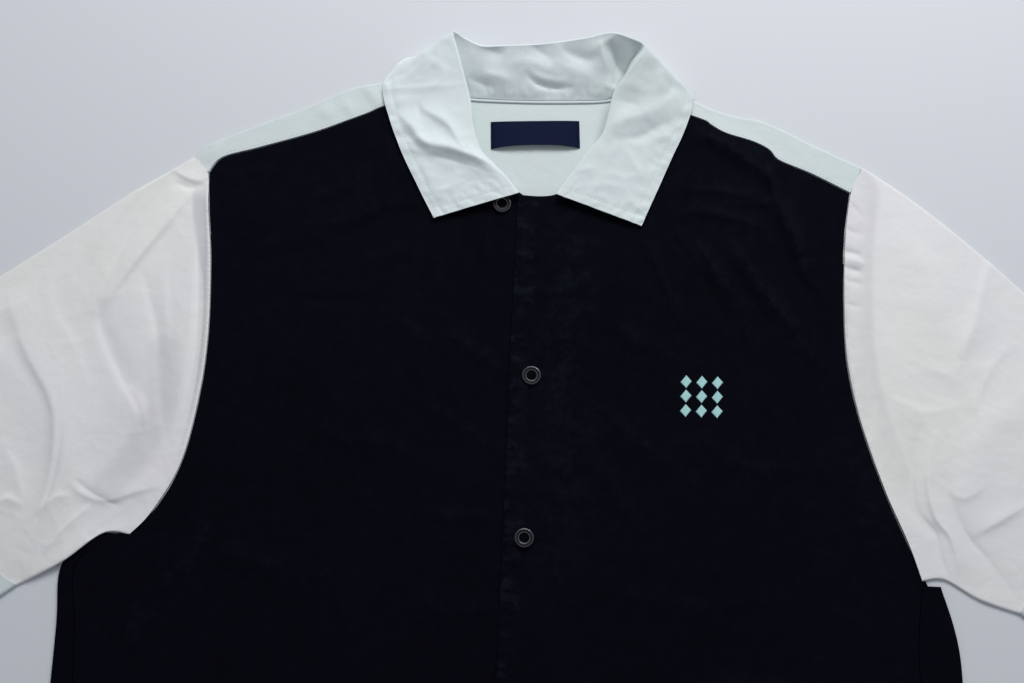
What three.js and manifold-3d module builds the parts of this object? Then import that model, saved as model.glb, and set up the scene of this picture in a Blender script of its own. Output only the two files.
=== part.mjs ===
// A short-sleeved camp-collar shirt, buttoned, lying flat on its back.
// Millimetres. +X is towards the wearer's left, +Y towards the collar and +Z up from the table. The origin is
// on the underside of the back, at the middle of its width, level with the second button.

import * as THREE from 'three';
import { mergeVertices } from 'three/addons/utils/BufferGeometryUtils.js';
import Module from 'manifold-3d';

// ---- Driving dimensions ----

const WALL = 1.0; // cloth
const GAP = 0.3; // between pieces, and between the layers of a folded one
const LAYER = WALL + GAP;
const UNDER = WALL / 2; // mid-height of the cloth that lies on the table
const UPPER = UNDER + LAYER; // mid-height of the cloth that lies on that
const LAPPED = UPPER + LAYER; // mid-height of the left front where it covers the right one
const FOLD_MIDDLE = (UNDER + UPPER) / 2;
const FOLD_INSET = LAYER / 2; // from a folded edge to where its layers run flat

const HEM_Y = -510;
const YOKE_SEAM_Y = 90;
const LEFT_FRONT_EDGE_X = -7;
const RIGHT_FRONT_EDGE_X = 24;
const LAP_SLOPE = { start: 30, end: 60 }; // where the left front comes down beside the lap
const BAND_WIDTH = 24;

const BUTTON = { radius: 6.35, thickness: 2.4, holeRadius: 0.9, holeSpacing: 2.8, x: 8, pitch: 110, last: 6 };
const OPEN_BUTTON = { x: -18, y: 122 };
const LABEL = { width: 62, height: 19, x: 2.5, y: 174, arch: 3 };

// Side seams from the hem up: the folded edge of the back and the seam to the front.
const SIDES = {
  right: [
    { y: HEM_Y, fold: -291, seam: -276 },
    { y: -380, fold: -294, seam: -278 },
    { y: -260, fold: -295, seam: -279 },
    { y: -182, fold: -296, seam: -284 },
    { y: -149, fold: -297, seam: -288 },
    { y: -131, fold: -283, seam: -274 },
    { y: -122.5, fold: -269, seam: -256 },
  ],
  left: [
    { y: HEM_Y, fold: 292, seam: 276 },
    { y: -380, fold: 295, seam: 276 },
    { y: -260, fold: 297, seam: 274 },
    { y: -176, fold: 296, seam: 269 },
    { y: -129, fold: 284, seam: 272 },
  ],
};

// Armhole seams, from the underarm up to the shoulder seam.
const ARMHOLES = {
  right: [
    { x: -254, y: -121 },
    { x: -241, y: -104 },
    { x: -225, y: -71 },
    { x: -217, y: -25 },
    { x: -215, y: 20 },
    { x: -218, y: 70 },
    { x: -223, y: 108 },
    { x: -226, y: 136 },
  ],
  left: [
    { x: 271, y: -127 },
    { x: 263, y: -102 },
    { x: 248, y: -68 },
    { x: 232, y: -22 },
    { x: 223, y: 20 },
    { x: 221, y: 64 },
    { x: 222, y: 108 },
    { x: 226, y: 142 },
  ],
};

// Shoulders from the armhole to the neck: the folded edge of the yoke and its seam to the front.
const SHOULDERS = {
  right: [
    { foldX: -236, foldY: 147, seamX: -226, seamY: 136 },
    { foldX: -197, foldY: 168, seamX: -190, seamY: 156 },
    { foldX: -144, foldY: 192, seamX: -138, seamY: 176 },
    { foldX: -64, foldY: 229, seamX: -60, seamY: 208 },
  ],
  left: [
    { foldX: 234, foldY: 161, seamX: 226, seamY: 142 },
    { foldX: 189, foldY: 179, seamX: 182, seamY: 160 },
    { foldX: 140, foldY: 198, seamX: 134, seamY: 180 },
    { foldX: 68, foldY: 228, seamX: 64, seamY: 210 },
  ],
};

// Neck edges: the yoke's across the back, and each front's from the shoulder seam to its lap.
const BACK_NECK = [
  { x: -64, y: 229 },
  { x: -52, y: 207 },
  { x: -30, y: 198.5 },
  { x: 4, y: 197.5 },
  { x: 40, y: 200 },
  { x: 58, y: 208 },
  { x: 68, y: 228 },
];
const FRONT_NECKS = {
  right: [
    { x: -60, y: 208 },
    { x: -50, y: 180 },
    { x: -31, y: 150 },
    { x: 0, y: 127 },
  ],
  left: [
    { x: 64, y: 210 },
    { x: 60, y: 182 },
    { x: 40, y: 152 },
    { x: 20, y: 131 },
    { x: LEFT_FRONT_EDGE_X, y: 129 },
  ],
};

// Sleeves, each edge from the armhole outwards to the band, and the seam to the band from the lower edge up.
const SLEEVES = {
  right: {
    lower: [
      { x: -254.6, y: -119.6 },
      { x: -272, y: -119.6 },
      { x: -297, y: -140 },
      { x: -327, y: -157 },
    ],
    top: [
      { x: -236.6, y: 147 },
      { x: -280, y: 117 },
      { x: -333, y: 76 },
      { x: -418, y: 12 },
    ],
    bandSeam: [
      { x: -327, y: -157 },
      { x: -347, y: -141 },
      { x: -380, y: -78 },
      { x: -418, y: 12 },
    ],
    bandAim: { lowerX: -18, lowerY: -14, topX: -19, topY: -15 },
  },
  left: {
    lower: [
      { x: 272, y: -125.5 },
      { x: 287, y: -124 },
      { x: 310, y: -136 },
      { x: 337, y: -144 },
    ],
    top: [
      { x: 234.6, y: 161 },
      { x: 271, y: 137 },
      { x: 324, y: 94 },
      { x: 402, y: 22 },
    ],
    bandSeam: [
      { x: 337, y: -144 },
      { x: 351, y: -118 },
      { x: 374, y: -60 },
      { x: 402, y: 22 },
    ],
    bandAim: { lowerX: 19, lowerY: -14, topX: 18, topY: -16 },
  },
};

// The largest folds, as ridges: their ends, how far their middle bows to their left, half width and height.
const FOLDS = {
  front_right: [
    { x0: -90, y0: 38, x1: -26, y1: -14, bow: 4, width: 12, height: 1.2 },
    { x0: -250, y0: -200, x1: -205, y1: -90, bow: -8, width: 18, height: 1.5 },
    { x0: -230, y0: -430, x1: -120, y1: -330, bow: 10, width: 20, height: 1.4 },
  ],
  front_left: [
    { x0: 110, y0: 182, x1: 168, y1: 158, bow: -4, width: 13, height: 3.0 },
    { x0: 167, y0: 160, x1: 208, y1: 60, bow: 5, width: 12, height: 2.8 },
    { x0: 147, y0: 104, x1: 205, y1: 20, bow: -5, width: 14, height: 1.8 },
    { x0: 100, y0: 112, x1: 158, y1: 16, bow: 8, width: 14, height: 1.5 },
    { x0: 90, y0: -420, x1: 220, y1: -300, bow: -12, width: 20, height: 1.5 },
  ],
  sleeve_right: [
    { x0: -240, y0: 124, x1: -284, y1: 26, bow: -6, width: 10, height: 4.0 },
    { x0: -284, y0: 16, x1: -258, y1: -34, bow: 4, width: 12, height: 3.0 },
    { x0: -244, y0: 48, x1: -226, y1: -56, bow: 5, width: 11, height: 2.6 },
    { x0: -352, y0: 34, x1: -318, y1: -116, bow: -14, width: 20, height: 4.0 },
    { x0: -296, y0: -94, x1: -242, y1: -92, bow: -5, width: 11, height: 3.4 },
  ],
  sleeve_left: [
    { x0: 240, y0: 138, x1: 240, y1: -14, bow: 4, width: 11, height: 2.4 },
    { x0: 330, y0: 92, x1: 292, y1: 8, bow: 4, width: 16, height: 2.4 },
    { x0: 266, y0: -28, x1: 288, y1: -118, bow: -5, width: 11, height: 3.0 },
    { x0: 284, y0: -58, x1: 330, y1: -132, bow: -4, width: 13, height: 2.6 },
    { x0: 360, y0: -80, x1: 306, y1: -92, bow: 3, width: 12, height: 2.2 },
  ],
};

// Collar sections round the neck, from the right leaf's front end to the left one's: the neck seam n, the
// roll r, the fall's outer edge f, and the fall's knee, as a share of the way from roll to edge and a height.
const COLLAR = [
  { nx: -9, ny: 131, nz: 3.1, rx: -6, ry: 129, rz: 8.5, fx: -65, fy: 109, fz: 3.5, knee: 0.5, kneeZ: 8.0 },
  { nx: -20, ny: 139, nz: 3.1, rx: -14, ry: 139, rz: 9.5, fx: -73, fy: 123, fz: 3.5, knee: 0.5, kneeZ: 8.2 },
  { nx: -33, ny: 149, nz: 3.1, rx: -24, ry: 149, rz: 10.5, fx: -81, fy: 138, fz: 3.5, knee: 0.5, kneeZ: 8.5 },
  { nx: -45, ny: 164, nz: 3.1, rx: -34, ry: 159, rz: 12, fx: -89, fy: 153, fz: 3.5, knee: 0.5, kneeZ: 9.0 },
  { nx: -51, ny: 182, nz: 3.1, rx: -40, ry: 176, rz: 14, fx: -98, fy: 171, fz: 3.5, knee: 0.5, kneeZ: 9.5 },
  { nx: -56, ny: 199, nz: 3.1, rx: -43, ry: 195, rz: 16, fx: -104, fy: 188, fz: 3.5, knee: 0.5, kneeZ: 10 },
  { nx: -60, ny: 214, nz: 3.3, rx: -48, ry: 212, rz: 19, fx: -107, fy: 198, fz: 3.6, knee: 0.5, kneeZ: 11 },
  { nx: -62, ny: 226, nz: 3.6, rx: -54, ry: 231, rz: 21, fx: -109, fy: 206, fz: 3.5, knee: 0.5, kneeZ: 14 },
  { nx: -60, ny: 233, nz: 3.0, rx: -58, ry: 244, rz: 19, fx: -108, fy: 212, fz: 1.9, knee: 0.5, kneeZ: 11 },
  { nx: -54, ny: 219, nz: 2.0, rx: -50, ry: 241, rz: 17, fx: -88, fy: 227, fz: 0.5, knee: 0.3, kneeZ: 1.0 },
  { nx: -46, ny: 207, nz: 1.9, rx: -38, ry: 237, rz: 15, fx: -57, fy: 233, fz: 0.5, knee: 0.2, kneeZ: 0.5 },
  { nx: -30, ny: 201, nz: 1.8, rx: -24, ry: 238, rz: 14, fx: -36, fy: 208, fz: 0.5, knee: 0.15, kneeZ: 0.5 },
  { nx: 4, ny: 200, nz: 1.8, rx: 5, ry: 241, rz: 13, fx: 3, fy: 202, fz: 0.5, knee: 0.15, kneeZ: 0.5 },
  { nx: 36, ny: 202, nz: 1.8, rx: 35, ry: 244, rz: 15, fx: 42, fy: 209, fz: 0.5, knee: 0.15, kneeZ: 0.5 },
  { nx: 52, ny: 209, nz: 1.9, rx: 53, ry: 247, rz: 18, fx: 62, fy: 234, fz: 0.5, knee: 0.2, kneeZ: 0.5 },
  { nx: 61, ny: 222, nz: 2.0, rx: 67, ry: 243, rz: 20, fx: 90, fy: 229, fz: 0.5, knee: 0.3, kneeZ: 1.0 },
  { nx: 66, ny: 233, nz: 3.0, rx: 77, ry: 238, rz: 22, fx: 112, fy: 213, fz: 1.9, knee: 0.5, kneeZ: 11 },
  { nx: 66, ny: 226, nz: 3.6, rx: 70, ry: 226, rz: 23, fx: 114, fy: 206, fz: 3.5, knee: 0.5, kneeZ: 12 },
  { nx: 66, ny: 215, nz: 3.3, rx: 62, ry: 214, rz: 21, fx: 112, fy: 193, fz: 3.6, knee: 0.5, kneeZ: 12 },
  { nx: 66, ny: 203, nz: 3.1, rx: 56, ry: 204, rz: 18, fx: 107, fy: 178, fz: 3.5, knee: 0.5, kneeZ: 11 },
  { nx: 64, ny: 189, nz: 3.1, rx: 53, ry: 190, rz: 16, fx: 102, fy: 166, fz: 3.5, knee: 0.5, kneeZ: 10 },
  { nx: 58, ny: 174, nz: 3.1, rx: 49, ry: 174, rz: 14, fx: 96, fy: 151, fz: 3.5, knee: 0.5, kneeZ: 9.5 },
  { nx: 48, ny: 160, nz: 3.8, rx: 40, ry: 162, rz: 12, fx: 91, fy: 138, fz: 3.5, knee: 0.5, kneeZ: 9 },
  { nx: 36, ny: 146, nz: 4.4, rx: 30, ry: 147, rz: 10, fx: 85, fy: 123, fz: 3.5, knee: 0.5, kneeZ: 8.5 },
  { nx: 23, ny: 132, nz: 4.4, rx: 19, ry: 129, rz: 9, fx: 80, fy: 110, fz: 3.5, knee: 0.5, kneeZ: 8 },
];
const ROLL_REACH = 3; // from the collar's roll to where its two layers run straight

// ---- Curves and surfaces ----

const vector = (point) => new THREE.Vector2(point.x, point.y);

// A smooth curve through a table's rows, as a function of the share of its length.
function curveThrough(rows) {
  const curve = new THREE.SplineCurve(rows.map(vector));
  return (share) => curve.getPointAt(THREE.MathUtils.clamp(share, 0, 1));
}

// Two curves end to end, the first taking the given share of the way.
function chain(first, second, share) {
  return (t) => (t <= share ? first(t / share) : second((t - share) / (1 - share)));
}

// A point of the patch inside four edges: u runs along bottom and top, v along left and right.
function patchPoint(edges, u, v) {
  const { bottom, top, left, right } = edges;
  const across = left(v).clone().lerp(right(v), u);
  const along = bottom(u).clone().lerp(top(u), v);
  const lower = bottom(0).clone().lerp(bottom(1), u);
  const corners = lower.lerp(top(0).clone().lerp(top(1), u), v);
  return across.add(along).sub(corners);
}

// How far the folds lift the cloth at a point.
function foldLift(folds, x, y) {
  let lift = 0;
  for (const fold of folds) {
    const run = new THREE.Vector2(fold.x1 - fold.x0, fold.y1 - fold.y0);
    const offset = new THREE.Vector2(x - fold.x0, y - fold.y0);
    const along = offset.dot(run) / run.lengthSq();
    if (along <= 0 || along >= 1) continue;
    const taper = 4 * along * (1 - along);
    const beside = run.cross(offset) / run.length() - fold.bow * taper;
    lift += fold.height * Math.sqrt(taper) * Math.exp(-((beside / fold.width) ** 2));
  }
  return lift;
}

// Fades a fold out towards the edges of its patch.
function edgeFade(u, v) {
  const nearest = Math.min(u, 1 - u, v, 1 - v);
  return THREE.MathUtils.smoothstep(nearest, 0, 0.12);
}

// A closed wall of cloth on a grid of mid-surface points. In a ringed grid each row closes on itself.
function clothWall(rows, ringed = false) {
  const rowCount = rows.length;
  const columnCount = rows[0].length;
  const neighbour = (i, j) => {
    const column = ringed ? (j + columnCount) % columnCount : THREE.MathUtils.clamp(j, 0, columnCount - 1);
    return rows[THREE.MathUtils.clamp(i, 0, rowCount - 1)][column];
  };
  const positions = [];
  for (const side of [1, -1]) {
    for (let i = 0; i < rowCount; i += 1) {
      for (let j = 0; j < columnCount; j += 1) {
        const along = neighbour(i, j + 1).clone().sub(neighbour(i, j - 1));
        const down = neighbour(i + 1, j).clone().sub(neighbour(i - 1, j));
        const normal = along.cross(down).normalize();
        const point = rows[i][j].clone().addScaledVector(normal, (side * WALL) / 2);
        positions.push(point.x, point.y, point.z);
      }
    }
  }
  const outer = (i, j) => i * columnCount + (j % columnCount);
  const inner = (i, j) => rowCount * columnCount + outer(i, j);
  const indices = [];
  const quad = (a, b, c, d) => indices.push(a, b, c, a, c, d);
  const columnSteps = ringed ? columnCount : columnCount - 1;
  for (let i = 0; i < rowCount - 1; i += 1) {
    for (let j = 0; j < columnSteps; j += 1) {
      quad(outer(i, j), outer(i, j + 1), outer(i + 1, j + 1), outer(i + 1, j));
      quad(inner(i, j), inner(i + 1, j), inner(i + 1, j + 1), inner(i, j + 1));
    }
  }
  const last = rowCount - 1;
  for (let j = 0; j < columnSteps; j += 1) {
    quad(outer(0, j), inner(0, j), inner(0, j + 1), outer(0, j + 1));
    quad(outer(last, j), outer(last, j + 1), inner(last, j + 1), inner(last, j));
  }
  if (!ringed) {
    const end = columnCount - 1;
    for (let i = 0; i < rowCount - 1; i += 1) {
      quad(outer(i, 0), outer(i + 1, 0), inner(i + 1, 0), inner(i, 0));
      quad(outer(i, end), inner(i, end), inner(i + 1, end), outer(i + 1, end));
    }
  }
  const geometry = new THREE.BufferGeometry();
  geometry.setAttribute('position', new THREE.Float32BufferAttribute(positions, 3));
  geometry.setIndex(indices);
  return facedOut(geometry);
}

function facedOut(geometry) {
  const position = geometry.attributes.position;
  const index = geometry.index.array;
  const [a, b, c] = [new THREE.Vector3(), new THREE.Vector3(), new THREE.Vector3()];
  let volume = 0;
  for (let i = 0; i < index.length; i += 3) {
    a.fromBufferAttribute(position, index[i]);
    b.fromBufferAttribute(position, index[i + 1]);
    c.fromBufferAttribute(position, index[i + 2]);
    volume += a.dot(b.cross(c));
  }
  if (volume < 0) geometry.setIndex(Array.from(index).reverse());
  return geometry;
}

// ---- Joining and cutting ----

const manifold = await Module();
manifold.setup();

function toSolid(geometry) {
  const bare = geometry.clone();
  bare.deleteAttribute('normal');
  bare.deleteAttribute('uv');
  const merged = mergeVertices(bare, 1e-4);
  return new manifold.Manifold(
    new manifold.Mesh({
      numProp: 3,
      vertProperties: new Float32Array(merged.attributes.position.array),
      triVerts: new Uint32Array(merged.index.array),
    }),
  );
}

function toGeometry(solid) {
  const mesh = solid.getMesh();
  const geometry = new THREE.BufferGeometry();
  geometry.setAttribute('position', new THREE.BufferAttribute(mesh.vertProperties, 3));
  geometry.setIndex(new THREE.BufferAttribute(mesh.triVerts, 1));
  return geometry;
}

function joined(geometries) {
  return toGeometry(geometries.map(toSolid).reduce((whole, part) => whole.add(part)));
}

// ---- Back and yoke ----

function flatPanel(outline) {
  return new THREE.ExtrudeGeometry(new THREE.Shape(outline), { depth: WALL, bevelEnabled: false });
}

// The point at a distance from a folded edge, towards its seam.
function insetPoint(fold, seam, distance) {
  const inward = seam.clone().sub(fold).normalize();
  return fold.clone().addScaledVector(inward, distance);
}

// Cloth that comes round a folded edge from underneath and ends at a seam on top.
function foldedStrip(folds, seams) {
  const underlap = 3;
  const rows = folds.map((fold, i) => {
    const at = (distance, z) => {
      const point = insetPoint(fold, seams[i], distance);
      return new THREE.Vector3(point.x, point.y, z);
    };
    const width = fold.distanceTo(seams[i]);
    return [
      at(underlap, UNDER),
      at(FOLD_INSET, UNDER),
      at(WALL / 2, FOLD_MIDDLE),
      at(FOLD_INSET, UPPER),
      at(Math.max(width - GAP, underlap), UPPER),
    ];
  });
  return clothWall(rows);
}

const panelInset = 2 * FOLD_INSET; // flat panels stop here, inside the strip that they are joined to

const stripSteps = 10;

const sampled = (rows) => {
  const curve = curveThrough(rows);
  return Array.from({ length: stripSteps + 1 }, (_, i) => curve(i / stripSteps));
};
const sideFolds = (side) => sampled(SIDES[side].map((row) => ({ x: row.fold, y: row.y })));
const sideSeams = (side) => sampled(SIDES[side].map((row) => ({ x: row.seam, y: row.y })));
const shoulderFolds = (side) => sampled(SHOULDERS[side].map((row) => ({ x: row.foldX, y: row.foldY })));
const shoulderSeams = (side) => sampled(SHOULDERS[side].map((row) => ({ x: row.seamX, y: row.seamY })));
const insetEdge = (folds, seams) => folds.map((fold, i) => insetPoint(fold, seams[i], panelInset));

const armholeSteps = 22;

function armholePoints(side) {
  const armhole = curveThrough(ARMHOLES[side]);
  return Array.from({ length: armholeSteps + 1 }, (_, i) => armhole(i / armholeSteps));
}

function makeBack() {
  const edge = (side) => [
    ...insetEdge(sideFolds(side), sideSeams(side)),
    ...armholePoints(side).filter((point) => point.y < YOKE_SEAM_Y - 8),
    new THREE.Vector2(side === 'right' ? -220.5 : 221.5, YOKE_SEAM_Y),
  ];
  const outline = [...edge('left'), ...edge('right').reverse()];
  const strips = ['right', 'left'].map((side) => foldedStrip(sideFolds(side), sideSeams(side)));
  return joined([flatPanel(outline), ...strips]);
}

function makeYoke() {
  const edge = (side) => [
    new THREE.Vector2(side === 'right' ? -220.5 : 221.5, YOKE_SEAM_Y + GAP),
    ...armholePoints(side).filter((point) => point.y > YOKE_SEAM_Y + 8),
    ...insetEdge(shoulderFolds(side), shoulderSeams(side)),
  ];
  const neckSteps = 12;
  const neckCurve = curveThrough(BACK_NECK);
  const neck = Array.from({ length: neckSteps - 1 }, (_, i) => neckCurve((i + 1) / neckSteps));
  const outline = [...edge('left'), ...neck.reverse(), ...edge('right').reverse()];
  const strips = ['right', 'left'].map((side) => foldedStrip(shoulderFolds(side), shoulderSeams(side)));
  return joined([flatPanel(outline), ...strips]);
}

// ---- Fronts ----

function frontEdges(side, shoulderShare, sideShare) {
  const sign = side === 'right' ? -1 : 1;
  const seamRows = SIDES[side].map((row) => ({ x: row.seam - sign * GAP, y: row.y }));
  const armhole = ARMHOLES[side].map((row) => ({ x: row.x - 2 * sign * GAP, y: row.y - 2 * GAP }));
  const seam = SHOULDERS[side].map((row) => ({ x: row.seamX, y: row.seamY - GAP }));
  const neck = FRONT_NECKS[side];
  const centre =
    side === 'right'
      ? [
          { x: RIGHT_FRONT_EDGE_X, y: HEM_Y },
          { x: RIGHT_FRONT_EDGE_X, y: -120 },
          { x: RIGHT_FRONT_EDGE_X - 3, y: 20 },
          neck.at(-1),
        ]
      : [
          { x: LEFT_FRONT_EDGE_X, y: HEM_Y },
          { x: LEFT_FRONT_EDGE_X + 1, y: -200 },
          { x: LEFT_FRONT_EDGE_X, y: 0 },
          neck.at(-1),
        ];
  const hem = [
    { x: seamRows[0].x, y: HEM_Y },
    { x: sign * 140, y: HEM_Y },
    { x: centre[0].x, y: HEM_Y },
  ];
  return {
    bottom: curveThrough(hem),
    top: chain(curveThrough([...seam.slice(0, -1), neck[0]]), curveThrough(neck), shoulderShare),
    left: chain(curveThrough(seamRows), curveThrough(armhole), sideShare),
    right: curveThrough(centre),
  };
}

// Columns run across the front, first below the shoulder and then below the neck. Rows run up it, first
// beside the side seam, in the back strip's own steps, and then beside the armhole.
function makeFront(side, shoulderColumns, neckColumns, armholeRows) {
  const columnCount = shoulderColumns + neckColumns;
  const rowCount = stripSteps + armholeRows;
  const edges = frontEdges(side, shoulderColumns / columnCount, stripSteps / rowCount);
  const folds = FOLDS[`front_${side}`];
  const rows = [];
  for (let i = 0; i <= rowCount; i += 1) {
    const row = [];
    for (let j = 0; j <= columnCount; j += 1) {
      const [u, v] = [j / columnCount, i / rowCount];
      const { x, y } = patchPoint(edges, u, v);
      const besideLap = THREE.MathUtils.smoothstep(x, LAP_SLOPE.start, LAP_SLOPE.end);
      const level = side === 'left' ? LAPPED + besideLap * (UPPER - LAPPED) : UPPER;
      row.push(new THREE.Vector3(x, y, level + edgeFade(u, v) * foldLift(folds, x, y)));
    }
    rows.push(row);
  }
  return clothWall(rows);
}

// ---- Sleeves and bands ----

// One ring of a flattened tube: along the upper layer from the lower edge to the top one, and back beneath.
function flatRing(pointAt, liftAt, columnCount) {
  const width = pointAt(0).distanceTo(pointAt(1));
  const inset = FOLD_INSET / width;
  const upper = [];
  const under = [];
  for (let j = 0; j <= columnCount; j += 1) {
    const u = inset + ((1 - 2 * inset) * j) / columnCount;
    const point = pointAt(u);
    upper.push(new THREE.Vector3(point.x, point.y, UPPER + liftAt(u, point)));
    under.push(new THREE.Vector3(point.x, point.y, UNDER));
  }
  const edgePoint = (u) => {
    const point = pointAt(u);
    return new THREE.Vector3(point.x, point.y, FOLD_MIDDLE);
  };
  const wall = WALL / 2 / width;
  return [...upper, edgePoint(1 - wall), ...under.reverse(), edgePoint(wall)];
}

function makeSleeve(side, columnCount, rowCount) {
  const sleeve = SLEEVES[side];
  const sign = side === 'right' ? -1 : 1;
  const armhole = armholePoints(side)
    .slice(1)
    .map((point) => ({ x: point.x + sign * 2 * GAP, y: point.y }));
  const edges = {
    bottom: curveThrough([sleeve.lower[0], ...armhole, sleeve.top[0]]),
    top: curveThrough(sleeve.bandSeam),
    left: curveThrough(sleeve.lower),
    right: curveThrough(sleeve.top),
  };
  const folds = FOLDS[`sleeve_${side}`];
  const rows = [];
  for (let i = 0; i <= rowCount; i += 1) {
    const v = i / rowCount;
    const pointAt = (u) => patchPoint(edges, u, v);
    const liftAt = (u, point) => edgeFade(u, v) * foldLift(folds, point.x, point.y);
    rows.push(flatRing(pointAt, liftAt, columnCount));
  }
  return clothWall(rows, true);
}

function makeBand(side, columnCount) {
  const { bandSeam, bandAim } = SLEEVES[side];
  const seam = curveThrough(bandSeam);
  const aimAt = (u) => {
    const lower = new THREE.Vector2(bandAim.lowerX, bandAim.lowerY);
    return lower.lerp(new THREE.Vector2(bandAim.topX, bandAim.topY), u).normalize();
  };
  const rows = [2 * GAP, BAND_WIDTH / 2, BAND_WIDTH].map((distance) => {
    const pointAt = (u) => seam(u).clone().addScaledVector(aimAt(u), distance);
    return flatRing(pointAt, () => 0, columnCount);
  });
  return clothWall(rows, true);
}

// ---- Collar ----

// One section: up the stand to the roll, round it, and out along the fall.
function collarSection(row) {
  const seam = new THREE.Vector3(row.nx, row.ny, row.nz);
  const roll = new THREE.Vector3(row.rx, row.ry, row.rz);
  const edge = new THREE.Vector3(row.fx, row.fy, row.fz);
  const knee = roll.clone().lerp(edge, row.knee).setZ(row.kneeZ);
  const fall = new THREE.QuadraticBezierCurve3(roll, knee, edge);
  const standWay = seam.clone().sub(roll).normalize();
  const fallWay = knee.clone().sub(roll).normalize();
  const outward = standWay.clone().add(fallWay).normalize().multiplyScalar(-0.6);
  return [
    seam,
    seam.clone().lerp(roll, 0.5),
    roll.clone().addScaledVector(standWay, ROLL_REACH),
    roll.clone().add(outward),
    roll.clone().addScaledVector(fallWay, ROLL_REACH),
    fall.getPoint(0.25),
    fall.getPoint(0.5),
    fall.getPoint(0.75),
    edge,
  ];
}

function makeCollar() {
  return clothWall(COLLAR.map(collarSection));
}

// ---- Neck label ----

function makeLabel() {
  const columnCount = 8;
  const level = UPPER;
  const rows = [-0.5, 0.5].map((v) => {
    const row = [];
    for (let j = 0; j <= columnCount; j += 1) {
      const u = j / columnCount - 0.5;
      const arch = LABEL.arch * (1 - 4 * u * u);
      row.push(new THREE.Vector3(LABEL.x + u * LABEL.width, LABEL.y + v * LABEL.height + arch, level));
    }
    return row;
  });
  return clothWall(rows);
}

// ---- Buttons ----

function makeButton() {
  const { radius, thickness, holeRadius, holeSpacing } = BUTTON;
  const segments = 18;
  const profile = [
    [0, 0],
    [radius * 0.8, 0],
    [radius, thickness * 0.35],
    [radius, thickness * 0.7],
    [radius * 0.88, thickness],
    [radius * 0.68, thickness * 0.92],
    [radius * 0.58, thickness * 0.6],
    [0, thickness * 0.55],
  ].map(([x, y]) => new THREE.Vector2(x, y));
  const disc = new THREE.LatheGeometry(profile, segments).rotateX(Math.PI / 2);
  let solid = toSolid(facedOut(mergeVertices(disc.deleteAttribute('normal').deleteAttribute('uv'), 1e-4)));
  for (const [x, y] of [[-1, -1], [1, -1], [1, 1], [-1, 1]]) {
    const drill = new THREE.CylinderGeometry(holeRadius, holeRadius, thickness * 3, 6).rotateX(Math.PI / 2);
    drill.translate((x * holeSpacing) / 2, (y * holeSpacing) / 2, 0);
    solid = solid.subtract(toSolid(drill));
  }
  return toGeometry(solid);
}

function buttonPlaces() {
  const places = [{ ...OPEN_BUTTON, z: UPPER + WALL / 2 + GAP }];
  for (let number = 2; number <= BUTTON.last; number += 1) {
    places.push({ x: BUTTON.x, y: -BUTTON.pitch * (number - 2), z: LAPPED + WALL / 2 + GAP });
  }
  return places;
}

// ---- Materials and the whole shirt ----

const cloth = (color) => new THREE.MeshStandardMaterial({ color, roughness: 0.9, metalness: 0 });
const navyCloth = cloth(0x0b0f18);
const mintCloth = cloth(0xc9d8d3);
const whiteCloth = cloth(0xe4e3e6);
const labelWeave = cloth(0x1b1e40);
const buttonResin = new THREE.MeshStandardMaterial({ color: 0x15171c, roughness: 0.3, metalness: 0 });

const shirt = new THREE.Group();

function addPiece(name, geometry, material) {
  const piece = new THREE.Mesh(geometry, material);
  piece.name = name;
  shirt.add(piece);
  return piece;
}

addPiece('back', makeBack(), navyCloth);
addPiece('yoke', makeYoke(), mintCloth);
addPiece('front_right', makeFront('right', 7, 4, 11), navyCloth);
addPiece('front_left', makeFront('left', 8, 5, 11), navyCloth);
addPiece('collar', makeCollar(), mintCloth);
addPiece('label', makeLabel(), labelWeave);
for (const side of ['right', 'left']) {
  addPiece(`sleeve_${side}`, makeSleeve(side, 11, 10), whiteCloth);
  addPiece(`band_${side}`, makeBand(side, 11), mintCloth);
}
buttonPlaces().forEach((place, i) => {
  addPiece(`button_${i + 1}`, makeButton(), buttonResin).position.set(place.x, place.y, place.z);
});

export default shirt;
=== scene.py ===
"""A short-sleeved camp-collar shirt in three colours of cotton, buttoned and lying flat on its back.

Sizes are in millimetres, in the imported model's own frame, and become metres where a mesh is made.
"""

import math

import bmesh
import bpy
import numpy as np
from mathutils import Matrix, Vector


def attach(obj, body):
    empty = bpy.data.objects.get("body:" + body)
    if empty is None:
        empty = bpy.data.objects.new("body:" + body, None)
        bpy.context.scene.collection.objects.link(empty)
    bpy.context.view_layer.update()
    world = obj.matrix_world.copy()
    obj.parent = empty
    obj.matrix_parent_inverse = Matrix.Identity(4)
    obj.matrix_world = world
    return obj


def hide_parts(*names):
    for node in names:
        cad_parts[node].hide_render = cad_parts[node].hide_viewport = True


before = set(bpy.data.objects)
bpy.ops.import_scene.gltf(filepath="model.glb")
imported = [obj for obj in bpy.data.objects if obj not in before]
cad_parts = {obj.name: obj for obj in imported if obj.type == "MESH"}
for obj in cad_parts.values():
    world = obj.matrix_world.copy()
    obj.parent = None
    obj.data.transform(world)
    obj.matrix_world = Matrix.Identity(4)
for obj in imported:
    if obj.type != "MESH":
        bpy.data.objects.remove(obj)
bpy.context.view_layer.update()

# ---- Back ----
# The back is one panel of navy cotton, wider than the chest, so that it comes round both sides to the top.
# There its edges are sewn to the fronts. It carries the whole shirt on the table, pressed nearly flat.

MM = 0.001
CLOTH = 0.7  # thickness
UNDER = 0.5  # middle of the cloth that lies on the table
UPPER = 1.8  # middle of the cloth that lies on that
GAP = 0.3  # between two pieces at a seam
HEM_Y = -510
YOKE_SEAM_Y = 90
UNDERLAP = 8  # how far the cloth at a folded edge runs back underneath, to where the flat panel starts

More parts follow.
